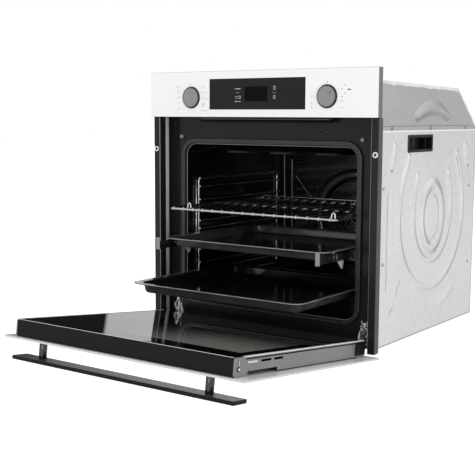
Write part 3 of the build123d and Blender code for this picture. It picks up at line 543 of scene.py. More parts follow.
def pressed_u(centre, half_w, depth, rise, end_half):
    """U-shaped ridge line: straight-ish arms which lean inwards, joined by half an ellipse below."""
    arm = []
    for step in range(9):
        up = 1 - step / 8
        arm.append((half_w - (half_w - end_half) * up * up, rise * up))
    left = [(centre[0] - w, centre[1] + h) for w, h in arm]
    right = [(centre[0] + w, centre[1] + h) for w, h in reversed(arm)]
    return left + ellipse(centre, half_w, depth, 180, 360)[1:-1] + right


RING_CENTRE = (282.0, 268.0)
INNER_RING = ellipse((281.0, 262.0), 52, 72)
NARROW_U = pressed_u(RING_CENTRE, 97.5, 107, 88, 82)
WIDE_U = pressed_u(RING_CENTRE, 167, 168, 130, 126.5)
REAR_SWEEP = ellipse(RING_CENTRE, 226, 222, 284, 302, 12)
FRONT_DASH = [(88, 423), (83, 401), (76, 378)]
REAR_DASH = [(457, 417), (464, 396), (473, 375)]
LOW_MARK = [(121, 132), (110, 118), (105, 106)]
LOWEST_MARK = [(90, 79), (80, 76), (76, 72)]
# Each ridge is a line, half its width and its rise; the faded ones get flatter towards the bottom.
FADED_RIDGES = ((NARROW_U, 10.5, 4.8), (WIDE_U, 11.5, 5.2), (REAR_SWEEP, 14, 2.2))
EVEN_RIDGES = ((INNER_RING, 20, 3.2), (FRONT_DASH, 10.5, 5.0), (REAR_DASH, 10.5, 5.0),
               (LOW_MARK, 6, 1.4), (LOWEST_MARK, 6, 1.4))
DISC_CENTRE, DISC_HALF, DISC_RISE = (281, 262), (42, 58), 1.6
FOLD_Z = 455.5
FOLD_RISE = 2.2
FOLD_DROP = 1.3
GROOVE_Y, GROOVE_Z = (62.0, 78.0), (119.0, 327.0)


def side_height(y, z):
    """Height of the pressed relief of a side panel, in millimetres outwards."""
    fade = 0.22 + 0.78 * soft((z - 130) / 230)
    disc = np.hypot((y - DISC_CENTRE[0]) / DISC_HALF[0], (z - DISC_CENTRE[1]) / DISC_HALF[1])
    height = DISC_RISE * soft((1 - disc) * 5)
    for line, half_width, rise in FADED_RIDGES:
        height = np.maximum(height, ridge(line, half_width, rise, y, z) * fade)
    for line, half_width, rise in EVEN_RIDGES:
        height = np.maximum(height, ridge(line, half_width, rise, y, z))
    in_groove = np.minimum(np.minimum(y - GROOVE_Y[0], GROOVE_Y[1] - y),
                           np.minimum(z - GROOVE_Z[0], GROOVE_Z[1] - z))
    height -= 1.0 * soft(in_groove / 2.5)
    height -= FOLD_DROP * soft((z - FOLD_Z) / FOLD_RISE)
    height -= 1.6 * soft(1 - (PANEL_HIGH.y - y) / 4)
    height -= 0.8 * soft(1 - (y - PANEL_LOW.y) / 3)
    return height


def lines_between(stops, spacing):
    """Grid lines through fixed stops, about one spacing apart."""
    lines = []
    for start, end in zip(stops, stops[1:]):
        lines += list(np.linspace(start, end, max(2, round((end - start) / spacing) + 1)))[:-1]
    return np.array(lines + [stops[-1]])


GRID = 2.6


def add_pressed_sheet(name, side, plane, stops_y, stops_z, height_of, thickness, material, hole=None,
                      replaces=()):
    """Sheet in a plane x = constant with a pressed relief, and an optional rectangular hole."""
    ys = lines_between(stops_y, GRID)
    zs = lines_between(stops_z, GRID)
    y, z = np.meshgrid(ys, zs, indexing="ij")
    x = side * (plane + height_of(y, z))
    verts = np.stack([x, y, z], axis=-1).reshape(-1, 3) * MM
    rows = len(zs)
    faces = []
    for i in range(len(ys) - 1):
        for j in range(rows - 1):
            mid_y, mid_z = (ys[i] + ys[i + 1]) / 2, (zs[j] + zs[j + 1]) / 2
            if hole and hole[0] < mid_y < hole[1] and hole[2] < mid_z < hole[3]:
                continue
            start = i * rows + j
            face = (start, start + rows, start + rows + 1, start + 1)
            faces.append(face if side > 0 else face[::-1])
    mesh = bpy.data.meshes.new(name)
    mesh.from_pydata(verts.tolist(), [], faces)
    obj = bpy.data.objects.new(name, mesh)
    bpy.context.collection.objects.link(obj)
    mesh.materials.append(MATERIALS[material])
    mesh.polygons.foreach_set("use_smooth", [True] * len(mesh.polygons))
    loose = bmesh.new()
    loose.from_mesh(mesh)
    bmesh.ops.delete(loose, geom=[vert for vert in loose.verts if not vert.link_faces], context="VERTS")
    loose.to_mesh(mesh)
    loose.free()
    shell = obj.modifiers.new("sheet", "SOLIDIFY")
    shell.thickness = thickness * MM
    shell.offset = -1
    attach(obj, "casing")
    if replaces:
        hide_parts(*replaces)


def add_side_panels():
    """Pressed sheets with the grip's hole, the flat band over their fold, and a white strip along the fold's
    upward step as painted highlight.
    """
    hole = (GRIP_LOW.y + 4, GRIP_HIGH.y - 4, GRIP_LOW.z + 4, GRIP_HIGH.z - 4)
    plane = PANEL_HIGH.x - SHEET
    low, high = PANEL_LOW.y, PANEL_HIGH.y
    folded = plane - FOLD_DROP
    stops_z = [PANEL_LOW.z, *hole[2:], FOLD_Z, FOLD_Z + FOLD_RISE / 2, FOLD_Z + FOLD_RISE, PANEL_HIGH.z]
    for side, word in SIDES:
        add_pressed_sheet(f"pressed_side_panel_{word}", side, plane, [low, *hole[:2], high], stops_z,
                          side_height, SHEET, "side_sheet", hole, [f"side_panel_{word}"])
        band = bmesh.new()
        outline = [(side * (folded - 0.2), low + 2), (side * (folded + 0.35), low + 2.4),
                   (side * (folded + 0.35), high - 3.4), (side * (folded - 0.2), high - 3)]
        profile_into(band, outline, FOLD_Z + FOLD_RISE, PANEL_HIGH.z - 0.8)
        add_mesh(f"panel_top_band_{word}", band, "cover_sheet", "casing", smooth=False)
        # White strip along the fold's upward step: painted highlight.
        bead = bmesh.new()
        outline = [(side * (plane - 0.2), low + 5), (side * (plane + 0.3), low + 6),
                   (side * (plane + 0.3), high - 7), (side * (plane - 0.2), high - 6)]
        profile_into(bead, outline, FOLD_Z - 1.6, FOLD_Z + 0.8)
        add_mesh(f"panel_fold_painted_highlight_{word}", bead, "ring_white", "casing", smooth=False)


# ---------------------------------------------------------------- top cover details


CRESCENT = [(190 + 2 * step * 4.05, 505.5 - 19 * ((step - 10) / 10) ** 2) for step in range(21)]
CRESCENT_Y, CRESCENT_Z = [165, 376], [470, 532]
BURIED = 0.7


def crescent_height(y, z):
    """Raised crescent, widest in the middle; round it the sheet lies just under the cover's skin."""
    half_width = 14 + 10 * np.clip(1 - ((y - 271) / 92) ** 2, 0, 1)
    return 7.5 * soft(1 - distance_to(CRESCENT, y, z) / half_width) - BURIED


COVER_TOP_FRONT = COVER_HIGH.z
COVER_TOP_REAR = COVER_HIGH.z - 8
COVER_TOP_REAR_Y = COVER_HIGH.y - 106
LIP_TABS = ((70, 92), (246, 262), (392, 408))


def cover_edge(y):
    """Height of the top cover's upper edge at a distance from the front."""
    fall = COVER_TOP_FRONT - COVER_TOP_REAR
    return COVER_TOP_FRONT - fall * (y - COVER_LOW.y) / (COVER_TOP_REAR_Y - COVER_LOW.y)


def add_cover_edges():
    """Folded edge of the top cover: an uneven bright lip with tabs, and the rim of the rear slope, both lighter
    than the cover sheet they are folded from, as painted highlight.
    """
    skin = COVER_HIGH.x
    for side, word in SIDES:
        bm = bmesh.new()
        rings = []
        for index, y in enumerate(np.arange(COVER_LOW.y + 1, COVER_TOP_REAR_Y + 0.5, 5.0)):
            top = cover_edge(y) - 0.4
            uneven = 0.4 * math.sin(index * 1.7) + 0.3 * math.sin(index * 0.53 + 1)
            tab = 1.6 if any(start <= y <= end for start, end in LIP_TABS) else 0.0
            low = top - 6.0 - uneven - tab
            proud = skin + 0.5 + 0.15 * math.sin(index * 0.9)
            rings.append([at(side * x, y, z) for x, z in (
                (skin - 0.6, top), (proud + 0.5, top), (proud + 0.8, top - 2.5), (proud + 0.2, low),
                (skin - 0.6, low))])
        tube_into(bm, rings)
        add_mesh(f"cover_lip_{word}", bm, "lip_sheet_painted_highlight", "casing", smooth=False)
        rim = bmesh.new()
        start = Vector((COVER_TOP_REAR_Y, COVER_TOP_REAR))
        end = Vector((COVER_HIGH.y, COVER_LOW.z))
        inward = Vector((end.y - start.y, -(end.x - start.x))).normalized()
        rings = []
        for share in np.linspace(0, 1, 12):
            outer = start.lerp(end, share)
            inner = outer + inward * (4.5 + 0.8 * math.sin(share * 23))
            rings.append([at(side * x, y, z) for x, y, z in (
                (skin - 0.6, *outer), (skin + 1.0, *outer), (skin + 0.7, *inner), (skin - 0.6, *inner))])
        tube_into(rim, rings)
        add_mesh(f"cover_rim_{word}", rim, "lip_sheet_painted_highlight", "casing", smooth=False)
        add_pressed_sheet(f"cover_crescent_{word}", side, skin, CRESCENT_Y, CRESCENT_Z, crescent_height, 0.3,
                          "cover_sheet")


# ---------------------------------------------------------------- front frame details


FLANGE_Y = FRAME_LOW.y
WALL_X = 278.5
STEP_X = 273.6
PLATE_Y = 26.0
HOUSING_SCREWS = next(mount for mount in frame["record"]["mounts"] if mount["name"] == "housing_screws")
RING_X = HOUSING_SCREWS["dims"]["spacing_x_mm"] / 2
RING_Z = HOUSING_SCREWS["pos_m"][2] / MM
PLATE_SCREWS = ((-153, 453), (153, 453), (-262, 468), (262, 468), (-262, 20), (262, 20))


def add_frame_details():
    """Steps, bevels and edges of the recess, screw rings, air deflector, screws and the cavity's mouth."""
    low, high = FRAME_LOW.z + 1.5, GLASS_LOW.z - 1.0
    for side, word in SIDES:
        wall, inner, outer = side * WALL_X, side * STEP_X, side * FRAME_HIGH.x
        for name, material, outline in (
                ("recess_step", "frame_enamel",
                 [(wall, 14.9), (inner, 14.9), (inner, PLATE_Y), (wall, PLATE_Y)]),
                # The recess bevel's grey is painted highlight on its bend; the flange edge's is partly bare cut
                # metal, partly painted highlight.
                ("recess_bevel", "bare_edge_and_painted_highlight",
                 [(wall, 9.5), (wall - side * 1.3, 10.2), (inner + side * 0.9, 13.6), (inner, 14.9),
                  (wall, 14.9)]),
                ("flange_edge", "bare_edge_and_painted_highlight",
                 [(wall + side * 0.8, FLANGE_Y - 0.2), (wall - side * 0.3, FLANGE_Y + 0.2),
                  (wall - side * 0.5, FLANGE_Y + 1.4), (wall + side * 0.4, FLANGE_Y + 1.4)]),
                ("flange_fold", "return_grey",
                 [(outer - side * 0.3, FLANGE_Y + 0.4), (outer + side * 1.4, FLANGE_Y + 1.2),
                  (outer + side * 2.2, -1.5), (outer + side * 2.2, 2.4), (outer - side * 0.3, 2.4)])):
            bm = bmesh.new()
            profile_into(bm, outline, low, high)
            add_mesh(f"{name}_{word}", bm, material, "casing", smooth=False)
        ring = bmesh.new()
        loft_into(ring, [face_ring(side * RING_X, FLANGE_Y - out, RING_Z, radius, 40) for radius, out in (
            (3.3, 0.0), (3.3, 0.7), (4.3, 1.0), (5.6, 0.8), (6.2, 0.0))])
        add_mesh(f"housing_screw_ring_{word}", ring, "ring_white", "casing")
    hood = bmesh.new()
    foot = HOOD_LOW.z - 1.8
    line = HOOD_LOW.z + 3.7
    for x0, x1, top, y in ((-169, 172, line, 5.2), (-60, -58.5, line + 2.4, 4.9)):
        box_into(hood, at(x0, y, foot), at(x1, y + 4.0, top))
    add_mesh("deflector_front", hood, "display_black", "casing", smooth=False)
    edge = bmesh.new()
    box_into(edge, at(-167, 4.7, line), at(170, 7.5, line + 1.7))
    soften(add_mesh("deflector_edge", edge, "deflector_blue", "casing", smooth=False), EDGE_BEVEL)
    screws = bmesh.new()
    for x, z in PLATE_SCREWS:
        disc_into(screws, at(x, PLATE_Y, z), (0, -1, 0), 3.4 * MM, 0.9 * MM, 32, 2.9 * MM)
        disc_into(screws, at(x, PLATE_Y - 0.9, z), (0, -1, 0), 2.9 * MM, 0.7 * MM, 32, 1.6 * MM)
    add_mesh("face_plate_screws", screws, "dark_screw", "casing")
    # Rounded lip at the cavity's mouth, lighter grey than the enamel: painted highlight.
    mouth = bmesh.new()
    half_w, half_h = (LINER_HIGH.x - LINER_LOW.x) / 2 - 15, (LINER_HIGH.z - LINER_LOW.z) / 2 - 15
    middle = (LINER_HIGH.z + LINER_LOW.z) / 2
    rows = []
    for turn in range(8):
        angle = math.tau * turn / 8
        inset, depth = 1.0 - 0.9 * math.cos(angle), 27.5 + 0.9 * math.sin(angle)
        outline = rounded_rectangle(half_w - inset, half_h - inset, 28.5 - inset, 14)
        rows.append([at(x, depth, middle + z) for x, z in outline])
    loft_into(mouth, rows)
    add_mesh("cavity_mouth_edge", mouth, "bare_edge_and_painted_highlight", "casing")


# ---------------------------------------------------------------- fascia details


MARK_LINE = 0.6


def plate_marks(name, marks, material, proud=0.12):
    """Small flat marks on the fascia: each is x, z, width, height in millimetres."""
    bm = bmesh.new()
    for x, z, width, height in marks:
        box_into(bm, at(x - width / 2, FACE_Y - proud, z - height / 2),
                 at(x + width / 2, FACE_Y + 0.3, z + height / 2))
    add_mesh(name, bm, material, "casing", smooth=False)


def frame_marks(x, z, width, height):
    """Outline of a small rectangle, as four bars."""
    return [(x, z + height / 2, width, MARK_LINE), (x, z - height / 2, width, MARK_LINE),
            (x - width / 2, z, MARK_LINE, height), (x + width / 2, z, MARK_LINE, height)]


def icon(x, z, kind):
    """Generic function mark of two or three strokes."""
    if kind == 0:
        return [(x, z + 1.6, 4.4, 0.7), (x, z - 1.6, 4.4, 0.7)]
    if kind == 1:
        return frame_marks(x, z, 4.2, 3.4)
    if kind == 2:
        return [(x - 1.4, z, 0.7, 3.6), (x + 1.4, z, 0.7, 3.6), (x, z, 2.2, 0.6)]
    return [(x, z, 4.6, 0.8), (x, z - 1.8, 2.6, 0.6)]


def add_fascia_details():
    """Generic scales round the knobs, and the display's window and key marks."""
    dark, pale = [], []
    left = -KNOB_X
    dark += [(left - 2, 556.5, 1.4, 3.6), (KNOB_X, 556.5, 1.6, 3.8)]
    for index, z in enumerate((551, 541, 528, 516, 502)):
        dark += icon(left - 37, z, index % 4)
        pale.append((left - 28, z, 8, 0.45))
    for index, z in enumerate((551, 539, 526, 513, 508, 498)):
        dark += icon(left + 35, z, (index + 2) % 4)
        pale.append((left + 28, z, 8, 0.45))
    for index, z in enumerate((538, 524, 498)):
        dark += icon(left + 43, z, 3 - index % 2)
    dark += [(left - 43, 551, 2.0, 1.0)]
    for z in (528, 513, 505):
        dark += icon(KNOB_X - 37, z, 0)
        pale.append((KNOB_X - 28, z - 1, 9, 0.45))
    for z in (542, 527, 518, 505):
        dark += icon(KNOB_X + 36, z, 3)
        pale.append((KNOB_X + 27, z - 1, 10, 0.45))
    dark += icon(KNOB_X + 43, 550, 2) + icon(KNOB_X + 43, 533, 2)
    plate_marks("fascia_scale_marks", dark, "legend_grey")
    plate_marks("fascia_scale_lines", pale, "legend_pale")
    plate_marks("fascia_level_dash", [(KNOB_X + 52, 540.5, 8.5, 2.2)], "legend_dark")
    middle = (DISPLAY_LOW.z + DISPLAY_HIGH.z) / 2
    plate_marks("display_window", [(0, middle, 60, 32)], "display_black", 0.1)
    bright = [(-48.3, 545, 15, 1.2), (-52.5, 517.5, 7, 1.2), (-43.5, 517.5, 6, 1.2)]
    bright += frame_marks(-43.6, 526.5, 5.5, 5.5) + [(-52.5, 528.5, 6, 0.6), (-52.5, 524.5, 6, 0.6)]
    bright += frame_marks(48, 545.3, 5.0, 5.4) + [(48, 549.8, 5.0, 0.6)]
    bright += frame_marks(48, 527.5, 4.6, 4.2) + [(48, 523.0, 5.6, 0.6)]
    plate_marks("display_key_marks", bright, "icon_light", 0.1)
    plate_marks("display_key_lines", [(-48.3, 536.7, 9, 0.9), (48, 535.7, 9.5, 0.9)], "icon_dim", 0.1)


KNOB_POINTERS = {"right": (43, 8.0, 16.5, "legend_dark"), "left": (92, 12.5, 19.0, "legend_grey")}


def add_knob_details():
    """Bezel in the fascia, rim on the cap, and a pointer given by its angle, its ends and its finish."""
    for side, word in SIDES:
        middle = side * KNOB_X
        bezel = bmesh.new()
        loft_into(bezel, [face_ring(middle, FACE_Y - out, KNOB_Z, KNOB_R + more, 96) for more, out in (
            (0.35, -3.0), (0.35, 0.15), (0.8, 0.45), (1.7, 0.3), (1.9, -0.2))])
        add_mesh(f"knob_bezel_{word}", bezel, "knob_bezel", "casing")
        rim = bmesh.new()
        loft_into(rim, [face_ring(middle, KNOB_LOW.y - out, KNOB_Z, KNOB_R + more, 96) for more, out in (
            (-2.0, 0.0), (-2.0, 0.12), (-0.3, 0.12), (0.05, -0.3), (0.05, -3.3), (-0.6, -3.3))])
        add_mesh(f"knob_rim_{word}", rim, "knob_bezel", f"{word}_knob")
        degrees, start, end, finish = KNOB_POINTERS[word]
        turn = math.radians(degrees)
        along = Vector((math.cos(turn), 0, math.sin(turn)))
        across = Vector((-along.z, 0, along.x)) * 0.65
        centre = Vector((middle, KNOB_LOW.y, KNOB_Z))
        corners = [centre + along * start + across, centre + along * end + across,
                   centre + along * end - across, centre + along * start - across]
        line = bmesh.new()
        tube_into(line, [[(corner + Vector((0, depth, 0))) * MM for corner in corners]
                         for depth in (-0.12, 0.5)])
        add_mesh(f"knob_pointer_{word}", line, finish, f"{word}_knob", smooth=False)


# ---------------------------------------------------------------- trays


TRAY_RINGS = (
    (1.4, -2.6), (0.3, -2.0), (0.0, -1.1), (0.5, -0.2), (1.6, 0.0), (4.5, -0.1), (7.0, -0.7),
    (13.0, -1.0), (15.8, -1.3), (17.2, -2.4), (17.9, -4.2),
)
RIM_RINGS = 6
WALL_RINGS = 12
TRAY_CORNER = 26.0
TRAY_SLOPE = math.tan(math.radians(9))


def add_pressed_tray(name, node, body, dark_inside=False):
    """Enamelled tray: rolled rim, sloping walls with rounded edges, and a slightly dished floor.

    Its rim is a lighter metallic copy of the enamel as painted highlight, and its walls a lighter coated copy as
    painted sheen, inside, or only outside where it is dark_inside.
    """
    low, high = box_mm(node)
    half_w, half_d = (high.x - low.x) / 2, (high.y - low.y) / 2
    middle_y = (high.y + low.y) / 2
    drop = high.z - low.z
    rings = list(TRAY_RINGS)
    rings += [(17.6 + (drop - 5) * TRAY_SLOPE, -(drop - 5)), (19.0 + drop * TRAY_SLOPE, -(drop - 2.0)),
              (22.5 + drop * TRAY_SLOPE, -(drop - 1.1)), (48, -(drop - 1.0)), (95, -(drop - 1.7))]
    bm = bmesh.new()
    rows = []
    for inset, depth in rings:
        radius = max(8.0, TRAY_CORNER - inset * 0.45)
        outline = rounded_rectangle(half_w - inset, half_d - inset, radius, 10)
        rows.append([at(x, middle_y + y, high.z + depth) for x, y in outline])
    loops = loft_into(bm, rows, close=False)
    bm.faces.new(loops[-1])
    obj = add_mesh(name, bm, "tray_enamel", body, [node])
    obj.data.materials.append(MATERIALS["tray_rim_painted_highlight"])
    obj.data.materials.append(MATERIALS["tray_wall_painted_sheen"])
    per_ring = len(rows[0])
    for index, face in enumerate(obj.data.polygons):
        if index < per_ring * RIM_RINGS:
            face.material_index = 1
        elif index < per_ring * WALL_RINGS and not dark_inside:
            face.material_index = 2
    shell = obj.modifiers.new("sheet", "SOLIDIFY")
    shell.material_offset = 2 if dark_inside else 0
    shell.thickness = 0.9 * MM
    shell.offset = -1 if obj.data.polygons[per_ring * (RIM_RINGS - 1)].normal.z > 0 else 1


def add_trays():
    add_pressed_tray("baking_tray_pressing", "baking_tray", "upper_tray")
    add_pressed_tray("deep_tray_pressing", "deep_tray", "lower_tray", dark_inside=True)


HOOK_OUTLINE = [(-34, 196.5), (-21, 195.5), (-10, 191.5), (-2, 185.5), (5, 177.5), (13, 168.5), (18, 168.0),
                (22.5, 190.5), (14, 192.5), (6, 190.5), (-1, 193.5), (-14, 198.5), (-34, 199.5)]
HOOK_BACK = 10


def add_tray_hooks():
    """Curved sheet brackets which carry the rim of the baking tray on its runners."""
    for side, word in SIDES:
        bm = bmesh.new()
        tube_into(bm, [[at(side * x, y - HOOK_BACK, z) for y, z in HOOK_OUTLINE] for x in (206.0, 204.5)])
        add_mesh(f"tray_hook_{word}", bm, "bracket_steel", "upper_tray", smooth=False)


# ---------------------------------------------------------------- racks


RACK_LEVELS = [117.3 + 50.5 * level + pair for level in range(5) for pair in (0.0, 19.0)]


def add_rack_details():
    """Bright wire ends of the side racks, and the raised stops of the wire shelf."""
    for side, word in SIDES:
        stubs = bmesh.new()
        for z in RACK_LEVELS:
            disc_into(stubs, at(side * 220.3, 64.0, z), (0, 1, 0), 2.1 * MM, 30 * MM, 12, 1.75 * MM)
        add_mesh(f"rack_wire_ends_{word}", stubs, "bright_wire", "casing")
        post = bmesh.new()
        disc_into(post, at(side * 225.0, 58.0, 93.0), (0, 0, 1), 1.5 * MM, 252 * MM, 12)
        add_mesh(f"rack_hook_post_{word}", post, "chrome_wire", "casing")
    for x, word in ((-162.0, "left"), (214.0, "right")):
        loop = [at(x + across, y, z) for across, y, z in (
            (-4.5, -48, 279), (-3.5, -47, 287.5), (0.0, -46, 290.5), (3.5, -47, 287.5), (4.5, -48, 279))]
        add_wire(f"shelf_stop_{word}", rounded_path(loop, 0.003), 1.5 * MM, "chrome_wire", "wire_shelf")


# ---------------------------------------------------------------- door details


TRIM_END = 468.8
PANE_LOW, PANE_HIGH = 10.0, 441.1
PANE_HALF = 266.4
PANE_Y = 18.8
BORDER_SIDE, BORDER_END = 26.0, 30.0
CAP_SCREW = (-2.0, 458)


def add_door_boxes(name, material, boxes, rounding=0.0):
    """Flat-sided piece of the door, from pairs of corners given on the closed door in millimetres."""
    bm = bmesh.new()
    for low, high in boxes:
        box_into(bm, at(*low), at(*high))
    open_mesh(bm)
    piece = add_mesh(name, bm, material, "door", smooth=False)
    if rounding:
        soften(piece, rounding)


def add_door_details():
    """Border and window of the inner glass, with painted light on the window, light lines along the glass edges as
    painted highlight, and the details of the side profiles.
    """
    low, high = PANE_LOW, PANE_HIGH
    near, far = -PANE_HALF + BORDER_SIDE, PANE_HALF - BORDER_SIDE
    border = [((x0 + 0.3, PANE_Y - 0.2, z0 + 0.3), (x1 - 0.3, PANE_Y + 0.08, z1 - 0.3))
              for x0, x1, z0, z1 in (
        (-PANE_HALF, near, low, high), (far, PANE_HALF, low, high),
        (near, far, low, low + BORDER_END), (near, far, high - BORDER_END, high))]
    add_door_boxes("inner_glass_border", "border_glass", border)
    # The window's lighter right front corner is painted light.
    add_door_boxes("inner_glass_window", "window_pane_painted_light", [
        ((near, PANE_Y - 0.2, low + BORDER_END), (far, PANE_Y + 0.04, high - BORDER_END))])
    for side, word in SIDES:
        # The inner glass lines are painted highlight along the pane's side edges.
        for name, material, x0, x1, y0, y1, z0, z1 in (
                ("inner_glass_painted_highlight", "glass_edge_painted_highlight", 266.2, 271.3, 17.6, 19.3, 12, 440.5),
                ("profile_gap", "border_black", 270.0, 271.45, 13.4, 15.6, 12, 436),
                ("profile_foot_line", "border_black", 270.0, 271.4, -15.4, -14.2, 40, 338)):
            add_door_boxes(f"{name}_{word}", material, [((side * x0, y0, z0), (side * x1, y1, z1))])
        corner = bmesh.new()
        outline = [(side * x, y) for x, y in ((268.5, -12), (273.2, -11), (273.2, 13), (268.5, 14.5))]
        profile_into(corner, outline, 9, 46)
        open_mesh(corner)
        add_mesh(f"door_corner_block_{word}", corner, "trim_black", "door", smooth=False)
        add_door_boxes(f"profile_slot_insert_{word}", "icon_light", [
            ((side * 269.6, 6.2, 400), (side * 271.2, 9.8, 430))], EDGE_BEVEL)
        outwards = (side, 0, 0)
        seat = bmesh.new()
        disc_into(seat, at(side * 272.3, *CAP_SCREW), outwards, 4.4 * MM, 0.7 * MM, 32, 3.6 * MM)
        open_mesh(seat)
        add_mesh(f"cap_screw_seat_{word}", seat, "seam_dark", "door")
        head = bmesh.new()
        disc_into(head, at(side * 272.9, *CAP_SCREW), outwards, 2.6 * MM, 0.9 * MM, 32, 1.6 * MM)
        box_into(head, at(side * 272.3, 5.5, 457.4), at(side * 272.95, 13.0, 458.6))
        open_mesh(head)
        add_mesh(f"cap_screw_{word}", head, "ring_white", "door")
    add_door_boxes("trim_glass_strip", "border_glass", [
        ((-268, PANE_Y - 0.2, high - 0.3), (268, PANE_Y + 0.1, TRIM_END - 1.2))])
    # Light line along the inner glass's front edge: painted highlight.
    add_door_boxes("inner_glass_front_painted_highlight", "glass_edge_painted_highlight", [
        ((-268, PANE_Y - 0.4, TRIM_END - 1.3), (268, PANE_Y + 0.3, TRIM_END))], EDGE_BEVEL / 2)


HOOK_Y = 21.0
HOOK_FINGERS = ([(238.5, 10), (240.5, 24), (244, 36), (247, 42)], [(251, 43), (252.5, 48), (254, 54)],
                [(255, 44), (261, 40), (262, 32), (257, 24)])


REAR_Y = 431.0
FAN_Z = 228.0


def add_rear_cover_details():
    """Pressed ring round the fan grille, and grey beads along the folded edges of the rear cover as painted
    highlight.
    """
    bm = bmesh.new()
    loft_into(bm, [face_ring(0.0, REAR_Y - out, FAN_Z, radius, 72) for radius, out in (
        (98, -1.5), (101, 1.6), (106, 3.2), (114, 3.4), (120, 2.0), (125, -1.5))])
    add_mesh("rear_cover_ring", bm, "rear_emboss", "casing")
    for side, word in SIDES:
        for kind, radius, line in (
                ("corner", 1.5, ((216.0, 120), (216.0, 256), (218.2, 392))),
                ("fold", 1.5, ((192.0, 120), (192.0, 246), (193.6, 372))),
                ("slant", 1.1, ((182, 330), (150, 292), (130, 275)))):
            path = [at(side * x, REAR_Y - 0.4, z) for x, z in line]
            add_wire(f"rear_{kind}_bead_{word}", path, radius * MM, "rear_bead_painted_highlight", "casing")


def add_hinge_details():
    """Bright curved fingers of the hinge hooks, at the foot of the face plate."""
    for side, word in SIDES:
        bm = bmesh.new()
        for path in HOOK_FINGERS:
            rings = []
            for index, (x, z) in enumerate(path):
                width = 2.3 - 0.3 * index
                rings.append([at(side * (x + across), y, z + along) for across, along, y in (
                    (-width, 0.4, HOOK_Y), (width, -0.4, HOOK_Y), (width, -0.4, PLATE_Y),
                    (-width, 0.4, PLATE_Y))])
            tube_into(bm, rings)
        add_mesh(f"hinge_hook_fingers_{word}", bm, "bright_wire", "casing")


add_side_panels()
add_cover_edges()
add_frame_details()
add_fascia_details()
add_knob_details()
add_trays()
add_tray_hooks()
add_rack_details()
add_door_details()
add_hinge_details()
add_rear_cover_details()

# ---------------------------------------------------------------- camera

CAMERA_PLACE = Vector((1.2272, -1.787, 0.4857))
CAMERA_AZIMUTH = math.radians(35.8)
CAMERA_ELEVATION = math.radians(7.02)
CAMERA_ROLL = math.radians(0.24)
CAMERA_LENS = 74.7


def add_camera():
    data = bpy.data.cameras.new("camera")
    data.lens = CAMERA_LENS
    data.sensor_width = 36.0
    data.clip_start = 0.05
    data.clip_end = 50.0
    camera = bpy.data.objects.new("camera", data)
    bpy.context.collection.objects.link(camera)
    back = Vector((
        math.sin(CAMERA_AZIMUTH) * math.cos(CAMERA_ELEVATION),
        -math.cos(CAMERA_AZIMUTH) * math.cos(CAMERA_ELEVATION),
        math.sin(CAMERA_ELEVATION),
    ))
    camera.rotation_mode = "QUATERNION"
    camera.rotation_quaternion = (-back).to_track_quat("-Z", "Y") @ Quaternion((0, 0, 1), CAMERA_ROLL)
    camera.location = CAMERA_PLACE
    bpy.context.scene.camera = camera


# ---------------------------------------------------------------- floor and light


WHITE = (1.0, 1.0, 1.0, 1.0)
FLOOR_SIZE = 12.0
FLOOR_GLOW = 0.92


def add_floor():
    """Pale floor that glows a little, and that glossy surfaces do not mirror."""
    mesh = bpy.data.meshes.new("floor")
    size = FLOOR_SIZE
    low = cad_box[0].z - 0.001
    mesh.from_pydata([(-size, -size, low), (size, -size, low), (size, size, low), (-size, size, low)], [],
                     [(0, 1, 2, 3)])
    floor = bpy.data.objects.new("floor", mesh)
    bpy.context.collection.objects.link(floor)
    surface("floor_white", (0.4, 0.4, 0.4), 0.9, vary=0.01, bump=0.0)
    white = MATERIALS["floor_white"]
    glow = white.node_tree.nodes["Principled BSDF"].inputs
    glow["Emission Color"].default_value = WHITE
    glow["Emission Strength"].default_value = FLOOR_GLOW
    floor.data.materials.append(white)
    floor.visible_glossy = False


def add_area(name, place, target, size, power, glossy=True):
    """Soft rectangular light; glossy tells whether shiny surfaces mirror it."""
    data = bpy.data.lights.new(name, "AREA")
    data.shape = "RECTANGLE"
    data.size, data.size_y = size
    data.energy = power
    light = bpy.data.objects.new(name, data)
    light.location = place
    light.rotation_mode = "QUATERNION"
    light.rotation_quaternion = (Vector(target) - Vector(place)).to_track_quat("-Z", "Y")
    light.visible_glossy = glossy
    bpy.context.collection.objects.link(light)


STUDIO_TONES = ((-180, 0.75), (-120, 0.95), (-60, 1.0), (-30, 0.9), (62, 0.9), (68, 0.8), (75, 0.4),
                (122, 0.33), (125, 1.0), (134, 1.0), (170, 1.0))
HEIGHT_TONES = ((-1.0, 0.2), (-0.6, 0.25), (-0.27, 0.85), (-0.19, 0.88), (-0.11, 1.0), (-0.02, 0.8),
                (0.05, 0.8), (0.11, 1.0))
DARK_FROM, DARK_TO, DARK_TONE = 132.3, 132.5, 0.02
OVERHEAD_FROM, OVERHEAD_TO = 0.25, 0.65


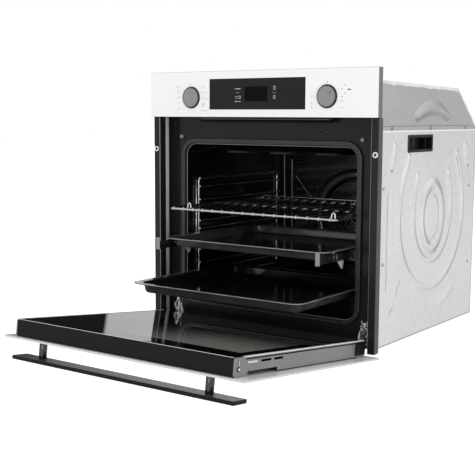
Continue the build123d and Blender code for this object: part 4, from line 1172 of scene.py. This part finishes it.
def tone_ramp(nodes, socket, low, high, tones):
    """Grey tone at each place of a value between low and high."""
    stops = [((place - low) / (high - low), (tone, tone, tone)) for place, tone in tones]
    return nodes.ramp(nodes.spread(socket, 0.0, 1.0, low, high), stops)


def whitened(nodes, share, colour):
    """Mix of a colour with white."""
    mix = nodes.node("ShaderNodeMixRGB")
    mix.inputs["Color2"].default_value = WHITE
    nodes.link(share, mix.inputs["Fac"])
    nodes.link(colour, mix.inputs["Color1"])
    return mix.outputs["Color"]


def add_world():
    """White studio to the camera and overhead.

    What shines sees it darker behind the oven, below it and near the horizon, and nearly black at the
    left behind it, past DARK_TO degrees.
    """
    world = bpy.data.worlds.new("studio")
    world.use_nodes = True
    bpy.context.scene.world = world
    nodes = Nodes(world.node_tree)
    parts = nodes.node("ShaderNodeSeparateXYZ")
    nodes.link(nodes.node("ShaderNodeTexCoord").outputs["Generated"], parts.inputs[0])
    height = parts.outputs["Z"]
    degrees = nodes.math("DEGREES", nodes.math("ARCTAN2", parts.outputs["Y"], parts.outputs["X"]))
    around = tone_ramp(nodes, degrees, -180, 180, STUDIO_TONES)
    upwards = tone_ramp(nodes, height, -1, 1, HEIGHT_TONES)
    dark = nodes.spread(degrees, 1.0, DARK_TONE, DARK_FROM, DARK_TO)
    tone = nodes.math("MULTIPLY", nodes.math("MULTIPLY", around, upwards), dark)
    overhead = whitened(nodes, nodes.spread(height, 0.0, 1.0, OVERHEAD_FROM, OVERHEAD_TO), tone)
    camera_ray = nodes.node("ShaderNodeLightPath").outputs["Is Camera Ray"]
    seen = whitened(nodes, camera_ray, overhead)
    nodes.link(seen, nodes.tree.nodes["Background"].inputs["Color"])


bpy.context.scene.view_settings.view_transform = "Standard"
add_camera()
add_floor()
add_world()
add_area("key", (1.8, -2.2, 2.4), (0, 0, 0.3), (1.6, 1.6), 10)
add_area("front", (0.35, -3.0, 0.6), (0, 0, 0.3), (1.0, 0.6), 5)
add_area("side", (3.0, -0.8, 0.5), (0.28, 0.2, 0.2), (1.2, 1.2), 8, False)
